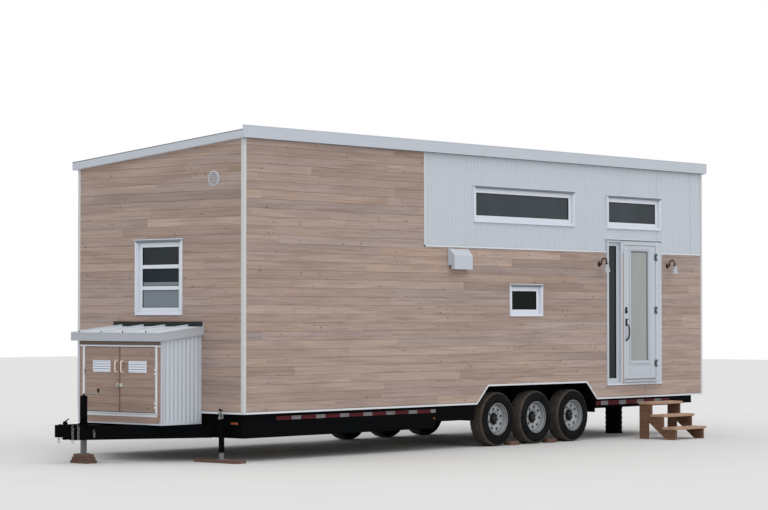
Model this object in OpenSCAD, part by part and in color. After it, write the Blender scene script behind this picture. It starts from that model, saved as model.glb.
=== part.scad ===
// Tiny house on a three-axle trailer, with its tongue box, entry steps and supports.
// X runs from the tongue to the rear, the door side faces -Y, and Z = 0 is the ground.

/* [House] */
// Length of the house over its front and rear walls
house_len = 10170; // [9600:10:11500]
// Width of the house over its side walls
house_w = 3050; // [2900:10:3300]
// Thickness of the outer walls
wall_t = 140; // [100:5:180]
// Height of the walls' lower edge above the ground
wall_base_z = 600; // [560:5:680]
// Height of the soffit at the door-side wall
soffit_high_z = 4040; // [3960:5:4200]
// Drop of the soffit from the door side to the far side
roof_drop = 275; // [190:5:340]
// Thickness of the floor deck
floor_t = 200; // [120:5:230]

/* [Roof] */
// Reach of the roof past the walls, to the outer face of its edge boards
roof_over = 68; // [50:1:120]
// Thickness of the roof deck
roof_t = 94; // [80:1:160]
// Thickness of the metal roof sheet with its battens
roof_metal_t = 12; // [6:1:20]
// Thickness of the boards along the roof's edges
edge_board_t = 22; // [16:1:30]
// Depth of the edge board over the door side
high_board_h = 155; // [130:1:200]

/* [Cladding] */
// Width of the corner trims
corner_trim_w = 32; // [25:1:60]
// How far corner trims, base trim and metal panels stand off the walls
trim_t = 14; // [12:1:28]
// Height of the trim strip along the walls' lower edge
base_trim_h = 24; // [18:1:45]
// Distance from the front wall to the corrugated metal panels
panel_x = 3460; // [3300:5:3700]
// Height of the metal panels' lower edge
panel_z = 2765; // [2700:5:2800]

/* [Windows] */
// Width of a window's outer casing
casing_w = 40; // [30:1:60]
// How far a casing stands off the wall
casing_t = 30; // [24:1:40]
// Width of a window's sash inside the casing
sash_w = 58; // [40:1:75]
// Thickness of a sash
sash_t = 40; // [30:1:50]
// Depth of a sash behind the wall's face
sash_in = 15; // [8:1:30]
// Thickness of the glass
glass_t = 8; // [4:1:16]
// Width of the long window
long_win_w = 2335; // [1900:1:2400]
// Height of the long window, as a share of the wall over the door unit
long_win_share = 0.476; // [0.4:0.001:0.5]
// Lift of the long window over the door unit, as a share of that wall
long_lift_share = 0.149; // [0.1:0.001:0.2]
// Distance from the front wall to the long window
long_win_x = 4515; // [4400:1:4700]
// Height of the window over the door, as a share of that wall
door_win_share = 0.462; // [0.4:0.001:0.48]
// Width of the small window
small_win_w = 760; // [600:1:800]
// Height of the small window
small_win_h = 458; // [380:1:520]
// Height of the small window's lower edge
small_win_z = 1818; // [1700:1:1900]
// Distance from the front wall to the small window
small_win_x = 5320; // [5100:1:5500]
// Width of the three-light window
light_win_w = 872; // [750:1:950]
// Height of the three-light window
light_win_h = 972; // [850:1:980]
// Height of the three-light window's lower edge
light_win_z = 1835; // [1820:1:1900]
// Distance from the door-side wall to the front window
front_win_y = 1076; // [1000:1:1200]
// Width of a window's cross bars
bar_w = 50; // [30:1:60]

/* [Door] */
// Distance from the front wall to the door unit
unit_x = 7643; // [7600:1:7700]
// Distance from the door leaf to the end of the door unit
unit_side_w = 155; // [125:1:170]
// Height of the door unit's lower edge
unit_z = 800; // [780:1:820]
// Distance from the door leaf to the door unit's upper edge
unit_head_h = 85; // [75:1:110]
// Width of the sidelight
sidelight_w = 388; // [370:1:410]
// Width of the groove between the sidelight's casing and the door's
casing_gap = 30; // [20:1:34]
// Distance from the sidelight to the door leaf
leaf_x = 51; // [50:1:65]
// Width of the door leaf
leaf_w = 813; // [790:1:850]
// Height of the door leaf
leaf_h = 2008; // [1960:1:2030]
// Distance from the door unit's lower edge to the door leaf
leaf_lift = 74; // [65:1:90]
// Thickness of the door leaf
leaf_t = 45; // [38:1:50]
// Gap around a door leaf
leaf_gap = 6; // [5:0.5:8]
// Width of the door leaf beside its glass, on the handle side
pane_left = 154; // [130:1:180]
// Width of the door leaf beside its glass, on the hinge side
pane_right = 184; // [150:1:220]
// Height of the door leaf under its glass
pane_low = 270; // [240:1:340]
// Height of the door leaf over its glass
pane_head = 68; // [60:1:130]
// Radius of a door hinge's knuckles
knuckle_r = 7; // [6:0.5:9]
// Radius of a door hinge's pin
pin_r = 4; // [3:0.5:5]

/* [Wheels] */
// Outer diameter of the tyres
tyre_d = 760; // [700:2:780]
// Width of the tyres
tyre_w = 235; // [200:1:245]
// Diameter of the rims over their flanges
rim_d = 446; // [400:1:460]
// Distance from the front wall to the first axle
axle_x = 5120; // [5060:5:5180]
// Distance between axles
axle_step = 880; // [850:5:900]
// Distance from the wall's face to the tyre's face
tyre_in = 30; // [20:1:50]
// Depth of the wheel wells
well_depth = 430; // [400:5:500]
// Distance from the wheel well's front end to the first axle
well_ahead = 526; // [520:1:580]
// Distance from the last axle to the wheel well's rear end
well_behind = 527; // [520:1:580]
// Clearance of the wheel well over the tyres
well_clear = 87; // [75:1:110]
// Length of the wheel well's sloped ends
well_slope = 256; // [220:1:260]

/* [Chassis] */
// Height of the main rails
rail_h = 160; // [140:1:180]
// Width of the main rails
rail_w = 80; // [60:1:100]
// Thickness of the side channels
side_rail_t = 60; // [40:1:70]
// Distance from the walls' faces to the side channels
side_rail_in = 30; // [20:1:35]
// Depth of the side channels in front of the wheels
deep_rail_h = 300; // [260:1:310]
// Depth of the side channels next to the wheels
mid_rail_h = 210; // [180:1:230]
// Depth of the side channels behind the wheels
rear_rail_h = 115; // [90:1:140]
// Distance from the front wall to the end of the deep channels
deep_rail_end_x = 3720; // [3600:5:3800]
// Distance from the chassis's rear end to the rear wall
rear_gap = 240; // [200:5:300]

/* [Tongue] */
// Reach of the tongue in front of the front wall
tongue_reach = 1726; // [1700:2:1900]
// Height of the tongue beams' upper edge
tongue_top_z = 465; // [450:1:480]
// Height of the tongue beams
tongue_h = 170; // [140:1:180]
// Width of the tongue beams
tongue_t = 50; // [40:1:60]
// Distance from the centre line to a beam's end at the chassis
tongue_spread = 925; // [880:1:1000]
// Distance from the front wall to the tongue jack
jack_x = 1274; // [1270:1:1300]
// Width of the tongue jack's tube
jack_w = 64; // [56:1:70]
// Reach of the jack's crank
crank_reach = 180; // [150:1:180]

/* [Tongue box] */
// Depth of the box in front of the front wall
box_d = 682; // [640:2:700]
// Width of the box
box_w = 1536; // [1440:2:1600]
// Offset of the box from the centre line, towards the door side
box_shift = 20; // [0:1:40]
// Height of the box's front under its roof
box_front_z = 1518; // [1450:1:1560]
// Rise of the box's roof towards the wall
box_rise = 71; // [60:1:120]
// Thickness of the box's walls
box_t = 20; // [16:1:25]
// Reach of the box's roof past its front and its far side
box_over = 78; // [50:1:90]
// Reach of the box's roof past its side towards the door side
box_near_over = 44; // [30:1:80]
// Depth of the box's roof edge
box_edge_h = 104; // [80:1:120]
// Width of the trim beside the box's doors
box_trim_w = 38; // [30:1:50]
// Height of the trim below the box's doors
box_sill_h = 48; // [30:1:60]
// Height of the trim above the box's doors
box_head_h = 22; // [18:1:40]

/* [Steps] */
// Width of the entry steps
step_w = 820; // [700:5:850]
// Distance from the front wall to the entry steps
step_x = 8090; // [8000:5:8140]
// Distance from the wall to the steps
step_gap = 270; // [240:5:350]
// Height of the lowest tread's upper face
step_z = 184; // [140:1:200]
// Rise of a step
step_rise = 182; // [170:1:200]
// Run of a step
step_run = 210; // [200:1:220]
// Depth of a tread
tread_d = 238; // [225:1:260]
// Thickness of a tread
tread_t = 38; // [30:1:45]

/* [Hidden] */
$fn = 48;
fit = 0.3;
seat = 0.01;
sides = ["near", "far"];
wheels = [1, 2, 3];

// Colours
timber = "#a8958a";
white = "#e4e6ea";
steel_black = "#1b1c1f";
dark_glass = "#3a4248";
zinc = "#9a9c9e";
rubber = "#2a2a2b";
deck_timber = "#8a6248";

// The origin is under the middle of the whole outline
steps_reach = step_gap + 2 * step_run + tread_d;
mid_x = (house_len + roof_over - tongue_reach) / 2;
mid_y = (house_w + roof_over - steps_reach) / 2;
center_y = house_w / 2;

// Roof planes
soffit_low_z = soffit_high_z - roof_drop;
slope = roof_drop / house_w;
function soffit_z(y) = soffit_high_z - slope * y;
deck_over = roof_over - edge_board_t;

// Openings are cut this far inside a casing's outer edge, and liners clear them by this much
hole_inset = 25;
hole_clear = 1;
liner_inset = hole_inset + hole_clear;
margin = casing_w + sash_w;

// Walls, as seen from outside: 0 door side, 1 front, 2 far side, 3 rear
wall_ang = [0, -90, 180, 90];
wall_pos = [[0, 0], [0, house_w], [house_len, house_w], [house_len, 0]];
wall_len = [house_len, house_w, house_len, house_w];

// Door unit, and the windows in the wall over it
leaf_z = unit_z + leaf_lift;
unit_w = sidelight_w + leaf_x + leaf_w + unit_side_w;
unit_top_z = leaf_z + leaf_h + unit_head_h;
unit_h = unit_top_z - unit_z;
over_reach = 60;
upper_h = soffit_high_z - unit_top_z;
long_win_h = round(upper_h * long_win_share);
long_win_z = unit_top_z + round(upper_h * long_lift_share);
door_win_h = round(upper_h * door_win_share);
door_win_inset = 5;
door_win_w = unit_w - 2 * door_win_inset;
door_win_drop = 3;
door_win_z = long_win_z - door_win_drop;
far_win_drop = 117;
far_win_z = soffit_low_z - far_win_drop - long_win_h;

// Each window: wall, distance from the wall's left end, lower edge, width, height, cross bars
far_light_x = 1500;
far_rear_light_x = 8200;
front_windows = [[1, house_w - front_win_y - light_win_w, light_win_z, light_win_w, light_win_h, 2]];
side_window_list = [
    [0, long_win_x, long_win_z, long_win_w, long_win_h, 0],
    [0, unit_x + 2 * door_win_inset, door_win_z, door_win_w, door_win_h, 0],
    [0, small_win_x, small_win_z, small_win_w, small_win_h, 0]];
far_window_list = [
    [2, house_len - long_win_x - long_win_w, far_win_z, long_win_w, long_win_h, 0],
    [2, house_len - far_light_x - light_win_w, light_win_z, light_win_w, light_win_h, 2],
    [2, house_len - far_rear_light_x - light_win_w, light_win_z, light_win_w, light_win_h, 2],
    [3, (house_w - light_win_w) / 2, light_win_z, light_win_w, light_win_h, 2]];
all_windows = concat(front_windows, side_window_list, far_window_list);

// Door leaf and its hinges
leaf_left = unit_x + sidelight_w + leaf_x;
leaf_face = -24;
hinge_x = leaf_left + leaf_w + leaf_gap / 2;
hinge_y = -casing_t - knuckle_r - fit;
low_hinge_z = leaf_z + 236;
high_hinge_z = leaf_z + leaf_h - 167;
hinge_zs = [low_hinge_z, (low_hinge_z + high_hinge_z) / 2, high_hinge_z];
knuckle_h = 36;
outer_knuckle_h = 32;
hinge_leaf_w = 34;
pane_x = leaf_left + pane_left;
pane_z = leaf_z + pane_low;
pane_w = leaf_w - pane_left - pane_right;
pane_h = leaf_h - pane_low - pane_head;
handle_in = 48;
deadbolt_z = leaf_z + 1036;
deadbolt_r = 32;
deadbolt_t = 14;
plate_z = leaf_z + 606;
plate_h = 310;
plate_w = 44;
plate_t = 8;
pull_out = 50;
pull_r = 11;
pull_h = 263;
post_h = 16;
knob_z = leaf_z + 886;
knob_r = 28;
knob_t = 30;
rose_r = 34;
knob_neck_r = 12;
knob_neck = 40;

// Wheel wells
well_x = axle_x - well_ahead;
well_len = well_ahead + 2 * axle_step + well_behind;
well_top_z = tyre_d + well_clear;
liner_t = 6;
flap_z = 410;

// Chassis lines
rail_y = well_depth;
frame_front = 30;
frame_rear = house_len - rear_gap;
well_rear = well_x + well_len;
hub_z = tyre_d / 2;
rail_bottom = wall_base_z - rail_h;
spindle_r = 22;
support_x = 9300;
outrigger_xs = [900, 1800, 2700, 3600, 4400, 7700, 8450, support_x];
inner_xs = [900, 1800, 2700, 3600, 4400, 5560, 6440, 7700, 8450, support_x];
beam_w = 60;
support_y = 1050;
support_r = 133;

// Tongue lines
apex_x = -tongue_reach + 166;
apex_half = 50;
beam_ang = atan2(tongue_spread - apex_half, frame_front - apex_x);
ball_x = -tongue_reach + 62;
coupler_r = 62;
coupler_rear_x = apex_x + 20;
coupler_half = apex_half + 52;
socket_r = 29.6;
jack_top_z = 830;
jack_tube_z = 287;
block_t = 38;
leg_foot_z = 3 * block_t;
crank_z = jack_top_z + 32;
crank_turn = -49;
post_x = -100;
post_y = 283;
post_w = 50;
post_bottom_z = 124;
post_top_z = 505;

// Tongue box lines
box_y = center_y - box_shift;
box_back_x = -trim_t - fit;
box_floor_z = tongue_top_z;
box_slope = box_rise / box_d;
function box_top_z(x) = box_front_z + box_slope * (x + box_d);
door_half = 647;
mid_gap = 4.5;
box_ring_t = 14;
box_door_z = 620;
box_corner_w = 19;
box_door_top_z = box_front_z - 85;
box_hinge_zs = [box_door_z + 90, box_door_z + 511];
box_knuckle_h = 24;
box_knuckle_r = 6;
box_pin_r = 3;
box_axis_x = -box_d - box_ring_t - box_knuckle_r - fit;
box_axis_y = door_half + leaf_gap / 2;

module at_house() {
    translate([-mid_x, -mid_y, 0]) children();
}

// Places children on the outer face of a wall: +X to the right as seen, +Y into the wall
module on_wall(side, along = 0, z = 0) {
    translate([wall_pos[side][0], wall_pos[side][1], 0])
        rotate([0, 0, wall_ang[side]])
            translate([along, 0, z]) children();
}

module block(from, to) {
    translate(from) cube(to - from);
}

// Everything below the sloping soffit
module under_soffit() {
    reach = 400;
    translate([-reach, 0, 0])
        rotate([90, 0, 90])
            linear_extrude(house_len + 2 * reach)
                polygon([[-reach, 0], [house_w + reach, 0],
                         [house_w + reach, soffit_z(house_w + reach) - seat],
                         [-reach, soffit_z(-reach) - seat]]);
}

// The outline of a wheel well in the plane of a side wall
module well_outline(grow = 0) {
    polygon([[well_x - grow, 0], [well_x - grow, wall_base_z],
             [well_x + well_slope - 0.4 * grow, well_top_z + grow],
             [well_rear - well_slope + 0.4 * grow, well_top_z + grow],
             [well_rear + grow, wall_base_z], [well_rear + grow, 0]]);
}

// Stands an outline drawn in X and Z upright, from y to y + depth
module upright(y, depth) {
    translate([0, y + depth, 0]) rotate([90, 0, 0]) linear_extrude(depth) children();
}

module window_holes(side) {
    for (w = all_windows)
        if (w[0] == side)
            on_wall(side, w[1] + hole_inset, w[2] + hole_inset)
                translate([0, -10, 0])
                    cube([w[3] - 2 * hole_inset, wall_t + 20, w[4] - 2 * hole_inset]);
}

module ring(w, h, border, from_y, to_y) {
    difference() {
        translate([0, from_y, 0]) cube([w, to_y - from_y, h]);
        translate([border, from_y - 1, border])
            cube([w - 2 * border, to_y - from_y + 2, h - 2 * border]);
    }
}

// A window's casing, liner and sash, with its lower left corner at the origin
module window_frame(w, h, bars = 0) {
    ring(w, h, casing_w, -casing_t, 0);
    translate([liner_inset, 0, liner_inset])
        ring(w - 2 * liner_inset, h - 2 * liner_inset, casing_w - liner_inset, 0, wall_t);
    translate([liner_inset, 0, liner_inset])
        ring(w - 2 * liner_inset, h - 2 * liner_inset, margin - liner_inset,
             sash_in, sash_in + sash_t);
    for (i = [1 : 1 : bars])
        translate([margin - 1, sash_in, bar_z(h, bars, i)])
            cube([w - 2 * margin + 2, sash_t, bar_w]);
}

// Height of a cross bar above the window's lower edge
function bar_z(h, bars, i) = margin + i * pane_height(h, bars) + (i - 1) * bar_w;
function pane_height(h, bars) = (h - 2 * margin - bars * bar_w) / (bars + 1);

module panes(w, h, bars = 0) {
    light = pane_height(h, bars);
    for (i = [0 : bars])
        translate([margin + fit, sash_in + (sash_t - glass_t) / 2,
                   margin + fit + i * (light + bar_w)])
            cube([w - 2 * margin - 2 * fit, glass_t, light - 2 * fit]);
}

module windows(list) {
    for (w = list) on_wall(w[0], w[1], w[2]) window_frame(w[3], w[4], w[5]);
}

// House shell

module floor_deck() {
    color(timber) at_house() difference() {
        block([wall_t, wall_t, wall_base_z],
              [house_len - wall_t, house_w - wall_t, wall_base_z + floor_t]);
        for (y = [wall_t - 1, house_w - well_depth])
            block([well_x, y, wall_base_z - 1],
                  [well_rear, y + well_depth - wall_t + 1, wall_base_z + floor_t + 1]);
    }
}

module end_wall(side) {
    x = side == 1 ? 0 : house_len - wall_t;
    intersection() {
        difference() {
            block([x, 0, wall_base_z], [x + wall_t, house_w, soffit_high_z + 100]);
            window_holes(side);
            if (side == 1) vent_hole();
        }
        under_soffit();
    }
}

module front_wall() {
    color(timber) at_house() end_wall(1);
}

module rear_wall() {
    color(timber) at_house() end_wall(3);
}

module side_wall(side, from_x, to_x, from_z, to_z) {
    y = side == 0 ? 0 : house_w - wall_t;
    intersection() {
        difference() {
            block([from_x, y, from_z], [to_x, y + wall_t, to_z]);
            upright(y - 1, wall_t + 2) well_outline();
            window_holes(side);
        }
        under_soffit();
    }
}

module far_wall() {
    color(timber) at_house()
        side_wall(2, wall_t, house_len - wall_t, wall_base_z, soffit_high_z);
}

module door_wall_front() {
    split_z = unit_top_z - hole_inset;
    color(timber) at_house() {
        side_wall(0, wall_t, unit_x + hole_inset, wall_base_z, split_z);
        side_wall(0, wall_t, unit_x - over_reach, split_z, soffit_high_z + 50);
    }
}

module door_wall_over() {
    color(timber) at_house()
        side_wall(0, unit_x - over_reach, unit_x + unit_w + over_reach,
                  unit_top_z - hole_inset, soffit_high_z + 50);
}

module door_wall_rear() {
    split_z = unit_top_z - hole_inset;
    color(timber) at_house() {
        side_wall(0, unit_x + unit_w - hole_inset, house_len - wall_t, wall_base_z, split_z);
        side_wall(0, unit_x + unit_w + over_reach, house_len - wall_t, split_z,
                  soffit_high_z + 50);
    }
}

module door_wall_sill() {
    color(timber) at_house()
        side_wall(0, unit_x + hole_inset, unit_x + unit_w - hole_inset,
                  wall_base_z, unit_z + hole_inset);
}

// Roof

module roof_layer(from_x, to_x, from_y, to_y, lift, thick) {
    translate([from_x, 0, 0]) rotate([90, 0, 90]) linear_extrude(to_x - from_x)
        polygon([[from_y, soffit_z(from_y) + lift], [to_y, soffit_z(to_y) + lift],
                 [to_y, soffit_z(to_y) + lift + thick],
                 [from_y, soffit_z(from_y) + lift + thick]]);
}

module roof_deck() {
    color(white) at_house()
        roof_layer(-deck_over, house_len + deck_over, -deck_over, house_w + deck_over, 0, roof_t);
}

module roof_metal() {
    color(white) at_house()
        roof_layer(-roof_over, house_len + roof_over, -deck_over, house_w + roof_over,
                   roof_t, roof_metal_t);
}

module eave_boards() {
    color(white) at_house() {
        block([-roof_over, -roof_over, soffit_z(-roof_over)],
              [house_len + roof_over, -deck_over, soffit_z(-roof_over) + high_board_h]);
        block([-roof_over, house_w + deck_over, soffit_z(house_w + roof_over)],
              [house_len + roof_over, house_w + roof_over,
               soffit_z(house_w + roof_over) + roof_t]);
    }
}

module rake_boards() {
    color(white) at_house()
        for (x = [-roof_over, house_len + deck_over])
            roof_layer(x, x + edge_board_t, -deck_over, house_w + deck_over, 0, roof_t);
}

// Cladding that stands off the walls

module corner_trims() {
    color(white) at_house() intersection() {
        for (x = [0, house_len], y = [0, house_w])
            translate([x, y, 0]) mirror([x > 0 ? 1 : 0, 0, 0]) mirror([0, y > 0 ? 1 : 0, 0])
                difference() {
                    block([-trim_t, -trim_t, wall_base_z],
                          [corner_trim_w, corner_trim_w, soffit_high_z + 100]);
                    block([0, 0, wall_base_z - 1],
                          [corner_trim_w + 1, corner_trim_w + 1, soffit_high_z + 101]);
                }
        under_soffit();
    }
}

module base_trim() {
    top_z = wall_base_z + base_trim_h;
    color(white) at_house() {
        for (x = [-trim_t, house_len])
            block([x, corner_trim_w, wall_base_z], [x + trim_t, house_w - corner_trim_w, top_z]);
        for (y = [-trim_t, house_w])
            upright(y, trim_t) difference() {
                union() {
                    translate([corner_trim_w, wall_base_z])
                        square([house_len - 2 * corner_trim_w, base_trim_h]);
                    intersection() {
                        well_outline(base_trim_h);
                        translate([0, wall_base_z]) square([house_len, wall_base_z]);
                    }
                }
                well_outline();
            }
    }
}

module metal_panels() {
    color(white) at_house() intersection() {
        difference() {
            union() {
                block([panel_x, -trim_t, panel_z], [house_len - corner_trim_w, 0, soffit_high_z + 50]);
                block([panel_x, house_w, panel_z],
                      [house_len - corner_trim_w, house_w + trim_t, soffit_high_z]);
                block([house_len, corner_trim_w, panel_z],
                      [house_len + trim_t, house_w - corner_trim_w, soffit_high_z]);
            }
            for (w = all_windows)
                on_wall(w[0], w[1], w[2]) translate([0, -50, 0]) cube([w[3], 100, w[4]]);
            block([unit_x, -50, panel_z - 1], [unit_x + unit_w, 50, unit_top_z]);
        }
        under_soffit();
    }
}

// Windows

module front_window() {
    color(white) at_house() windows(front_windows);
}

module side_windows() {
    color(white) at_house() windows(side_window_list);
}

module far_windows() {
    color(white) at_house() windows(far_window_list);
}

module window_glass() {
    color(dark_glass) at_house() {
        for (w = all_windows) on_wall(w[0], w[1], w[2]) panes(w[3], w[4], w[5]);
        on_wall(0, unit_x, unit_z) panes(sidelight_w, unit_h);
    }
}

// Entry door

module door_frame() {
    opening_x = leaf_left - leaf_gap - 2;
    opening_w = leaf_w + 2 * leaf_gap + 2;
    opening_z = leaf_z - leaf_gap;
    opening_h = leaf_h + 2 * leaf_gap;
    stop = 14;
    stop_y = leaf_face + leaf_t + leaf_gap;
    color(white) at_house() {
        translate([unit_x, 0, unit_z]) window_frame(sidelight_w, unit_h);
        difference() {
            union() {
                block([unit_x + sidelight_w + casing_gap, -casing_t, unit_z],
                      [unit_x + unit_w, 0, unit_top_z]);
                block([unit_x + sidelight_w - casing_w, 0, unit_z + liner_inset],
                      [unit_x + unit_w - liner_inset, wall_t, unit_top_z - liner_inset]);
            }
            block([opening_x, -casing_t - 1, opening_z],
                  [opening_x + opening_w, stop_y, opening_z + opening_h]);
            block([opening_x + stop, 0, opening_z + stop],
                  [opening_x + opening_w - stop, wall_t + 1, opening_z + opening_h - stop]);
        }
    }
}

module entry_door() {
    lip = 24;
    lip_t = 5;
    color(white) at_house() difference() {
        union() {
            block([leaf_left, leaf_face, leaf_z],
                  [leaf_left + leaf_w, leaf_face + leaf_t, leaf_z + leaf_h]);
            block([pane_x - lip, leaf_face - lip_t, pane_z - lip],
                  [pane_x + pane_w + lip, leaf_face, pane_z + pane_h + lip]);
        }
        block([pane_x, leaf_face - lip_t - 1, pane_z],
              [pane_x + pane_w, leaf_face + leaf_t + 1, pane_z + pane_h]);
    }
}

module entry_door_glass() {
    pane_t = 20;
    color("#a7aaa3") at_house()
        translate([pane_x + fit, leaf_face + (leaf_t - pane_t) / 2, pane_z + fit])
            cube([pane_w - 2 * fit, pane_t, pane_h - 2 * fit]);
}

module entry_door_hardware() {
    handle_x = leaf_left + handle_in;
    face = leaf_face;
    inner = leaf_face + leaf_t;
    color(steel_black) at_house() {
        translate([handle_x, face, deadbolt_z]) rotate([90, 0, 0])
            cylinder(r = deadbolt_r, h = deadbolt_t);
        block([handle_x - plate_w / 2, face - plate_t, plate_z],
              [handle_x + plate_w / 2, face, plate_z + plate_h]);
        for (z = [plate_z + post_h / 2 + pull_r, plate_z + pull_h - post_h / 2 + pull_r])
            block([handle_x - post_h / 2, face - pull_out, z - post_h / 2],
                  [handle_x + post_h / 2, face - plate_t, z + post_h / 2]);
        translate([handle_x, face - pull_out, plate_z + pull_r]) cylinder(r = pull_r, h = pull_h);
        translate([handle_x, inner + plate_t, knob_z]) rotate([-90, 0, 0])
            cylinder(r = knob_neck_r, h = knob_neck);
        translate([handle_x, inner + plate_t + knob_neck, knob_z]) rotate([-90, 0, 0])
            cylinder(r = knob_r, h = knob_t);
        translate([handle_x, inner, knob_z]) rotate([-90, 0, 0]) cylinder(r = rose_r, h = plate_t);
        for (z = hinge_zs) {
            difference() {
                union() {
                    translate([hinge_x, hinge_y, z - knuckle_h / 2])
                        cylinder(r = knuckle_r, h = knuckle_h);
                    block([hinge_x - hinge_leaf_w, hinge_y, z - knuckle_h / 2],
                          [hinge_x - knuckle_r + 1.5, leaf_face, z + knuckle_h / 2]);
                }
                translate([hinge_x, hinge_y, z - knuckle_h])
                    cylinder(r = pin_r + 0.05, h = 2 * knuckle_h);
            }
        }
    }
}

module door_hinges() {
    play = 0.5;
    reach = knuckle_h / 2 + play + outer_knuckle_h;
    color(steel_black) at_house() for (z = hinge_zs) {
        translate([hinge_x, hinge_y, z - reach]) cylinder(r = pin_r, h = 2 * reach);
        for (low = [z - reach, z + knuckle_h / 2 + play]) {
            translate([hinge_x, hinge_y, low]) cylinder(r = knuckle_r, h = outer_knuckle_h);
            block([hinge_x + knuckle_r - 1.5, hinge_y, low],
                  [hinge_x + hinge_leaf_w, -casing_t, low + outer_knuckle_h]);
        }
    }
}

// Lamps and vents

lamp_z = 2590;
lamp_reach = 147;
lamp_xs = [unit_x - 177, unit_x + unit_w + 180];
lamp_plate_r = 55;
lamp_plate_t = 20;
neck_r = 45;
neck_rise = 40;
neck_wire = 7;
socket_top = 17;
lamp_socket_r = 25;
lamp_socket_h = 32;
stem_r = 13;
stem_low = 40;
bulb_r = 26;
bulb_low = 58;
shade_h = 118;
shade_r = 52;

module wall_lamps() {
    near_y = -lamp_reach + 2 * neck_r;
    color("#3b332c") at_house() for (x = lamp_xs) translate([x, 0, lamp_z]) {
        rotate([90, 0, 0]) cylinder(r = lamp_plate_r, h = lamp_plate_t);
        translate([0, 1 - lamp_plate_t, 0]) rotate([90, 0, 0])
            cylinder(r = neck_wire, h = 1 - near_y - lamp_plate_t);
        translate([0, near_y, 0]) sphere(r = neck_wire);
        translate([0, near_y, 0]) cylinder(r = neck_wire, h = neck_rise);
        translate([0, near_y - neck_r, neck_rise]) rotate([90, 0, 90])
            rotate_extrude(angle = 180) translate([neck_r, 0]) circle(r = neck_wire);
        translate([0, -lamp_reach, socket_top - neck_wire])
            cylinder(r = neck_wire, h = neck_rise - socket_top + neck_wire);
        translate([0, -lamp_reach, socket_top - lamp_socket_h])
            cylinder(r = lamp_socket_r, h = lamp_socket_h);
        translate([0, -lamp_reach, -stem_low]) cylinder(r = stem_r, h = 2 * stem_r);
        translate([0, -lamp_reach, -bulb_low]) sphere(r = bulb_r);
    }
}

module lamp_shades() {
    wall = 3;
    neck = lamp_socket_r + fit;
    mid = shade_r * 0.85;
    upper = shade_r * 0.65;
    color("#c8d0d4") at_house() for (x = lamp_xs)
        translate([x, -lamp_reach, lamp_z]) rotate_extrude()
            polygon([[neck, 0], [neck + wall, 0], [upper, -shade_h * 0.2], [mid, -shade_h / 2],
                     [shade_r, -shade_h], [shade_r - wall, -shade_h], [mid - wall, -shade_h / 2],
                     [upper - wall, -shade_h * 0.22], [neck, -2 * wall]]);
}

vent_y = 520;
vent_drop = 485;
vent_z = soffit_high_z - vent_drop;
vent_r = 100;
vent_t = 24;
duct_r = 75;

module vent_hole() {
    translate([-1, vent_y, vent_z]) rotate([0, 90, 0]) cylinder(r = duct_r, h = wall_t + 2);
}

hood_x = 3980;
hood_w = 400;
hood_out = 112;
hood_back = 60;
hood_low_z = 2465;
hood_lip = 57;
hood_front_h = 187;
hood_top_h = 273;
hood_h = 285;
hood_shoulder = 40;

module wall_vents() {
    color(white) at_house() {
        translate([0, vent_y, vent_z]) rotate([0, -90, 0]) cylinder(r = vent_r, h = vent_t);
        translate([0, vent_y, vent_z]) rotate([0, 90, 0]) cylinder(r = duct_r - fit, h = wall_t);
        translate([hood_x, 0, hood_low_z]) rotate([90, 0, 90]) linear_extrude(hood_w)
            polygon([[0, hood_lip], [-hood_back, hood_lip], [-hood_back, 0], [-hood_out, 0],
                     [-hood_out, hood_front_h], [-hood_shoulder, hood_top_h], [0, hood_h]]);
    }
}

// Chassis

module i_beam(len, w, h) {
    flange = 10;
    web = 8;
    rotate([90, 0, 90]) linear_extrude(len)
        difference() {
            translate([-w / 2, 0]) square([w, h]);
            for (x = [-w / 2 - 1, web / 2])
                translate([x, flange]) square([(w - web) / 2 + 1, h - 2 * flange]);
        }
}

module chassis_rails() {
    color(steel_black) at_house() {
        for (y = [rail_y + rail_w / 2, house_w - rail_y - rail_w / 2])
            translate([frame_front + beam_w, y, rail_bottom])
                i_beam(frame_rear - frame_front - 2 * beam_w, rail_w, rail_h);
        for (y = [side_rail_in, house_w - side_rail_in - side_rail_t]) {
            upright(y, side_rail_t) polygon([
                [frame_front, wall_base_z], [frame_front, wall_base_z - deep_rail_h],
                [deep_rail_end_x, wall_base_z - deep_rail_h],
                [deep_rail_end_x + 40, wall_base_z - mid_rail_h],
                [well_x - 10, wall_base_z - mid_rail_h], [well_x - 10, wall_base_z]]);
            block([well_rear + 10, y, wall_base_z - rear_rail_h],
                  [frame_rear, y + side_rail_t, wall_base_z]);
        }
    }
}

module cross_members() {
    side_y = side_rail_in + side_rail_t;
    h = rear_rail_h;
    z = wall_base_z - h;
    color(steel_black) at_house() {
        block([frame_front, side_y, wall_base_z - deep_rail_h],
              [frame_front + beam_w, house_w - side_y, wall_base_z]);
        block([frame_rear - beam_w, side_y, z], [frame_rear, house_w - side_y, wall_base_z]);
        for (x = outrigger_xs, y = [side_y, house_w - rail_y])
            block([x - beam_w / 2, y, z], [x + beam_w / 2, y + rail_y - side_y, wall_base_z]);
        for (x = inner_xs)
            block([x - beam_w / 2, rail_y + rail_w, z],
                  [x + beam_w / 2, house_w - rail_y - rail_w, wall_base_z]);
    }
}

module rear_supports() {
    ribs = 6;
    top_z = wall_base_z - rear_rail_h;
    color(steel_black) at_house()
        for (y = [support_y, house_w - support_y]) translate([support_x, y, 0]) {
            cylinder(r = support_r - 6, h = top_z);
            for (i = [0 : ribs])
                translate([0, 0, i * (top_z - 30) / ribs]) cylinder(r = support_r, h = 30);
        }
}

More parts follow.
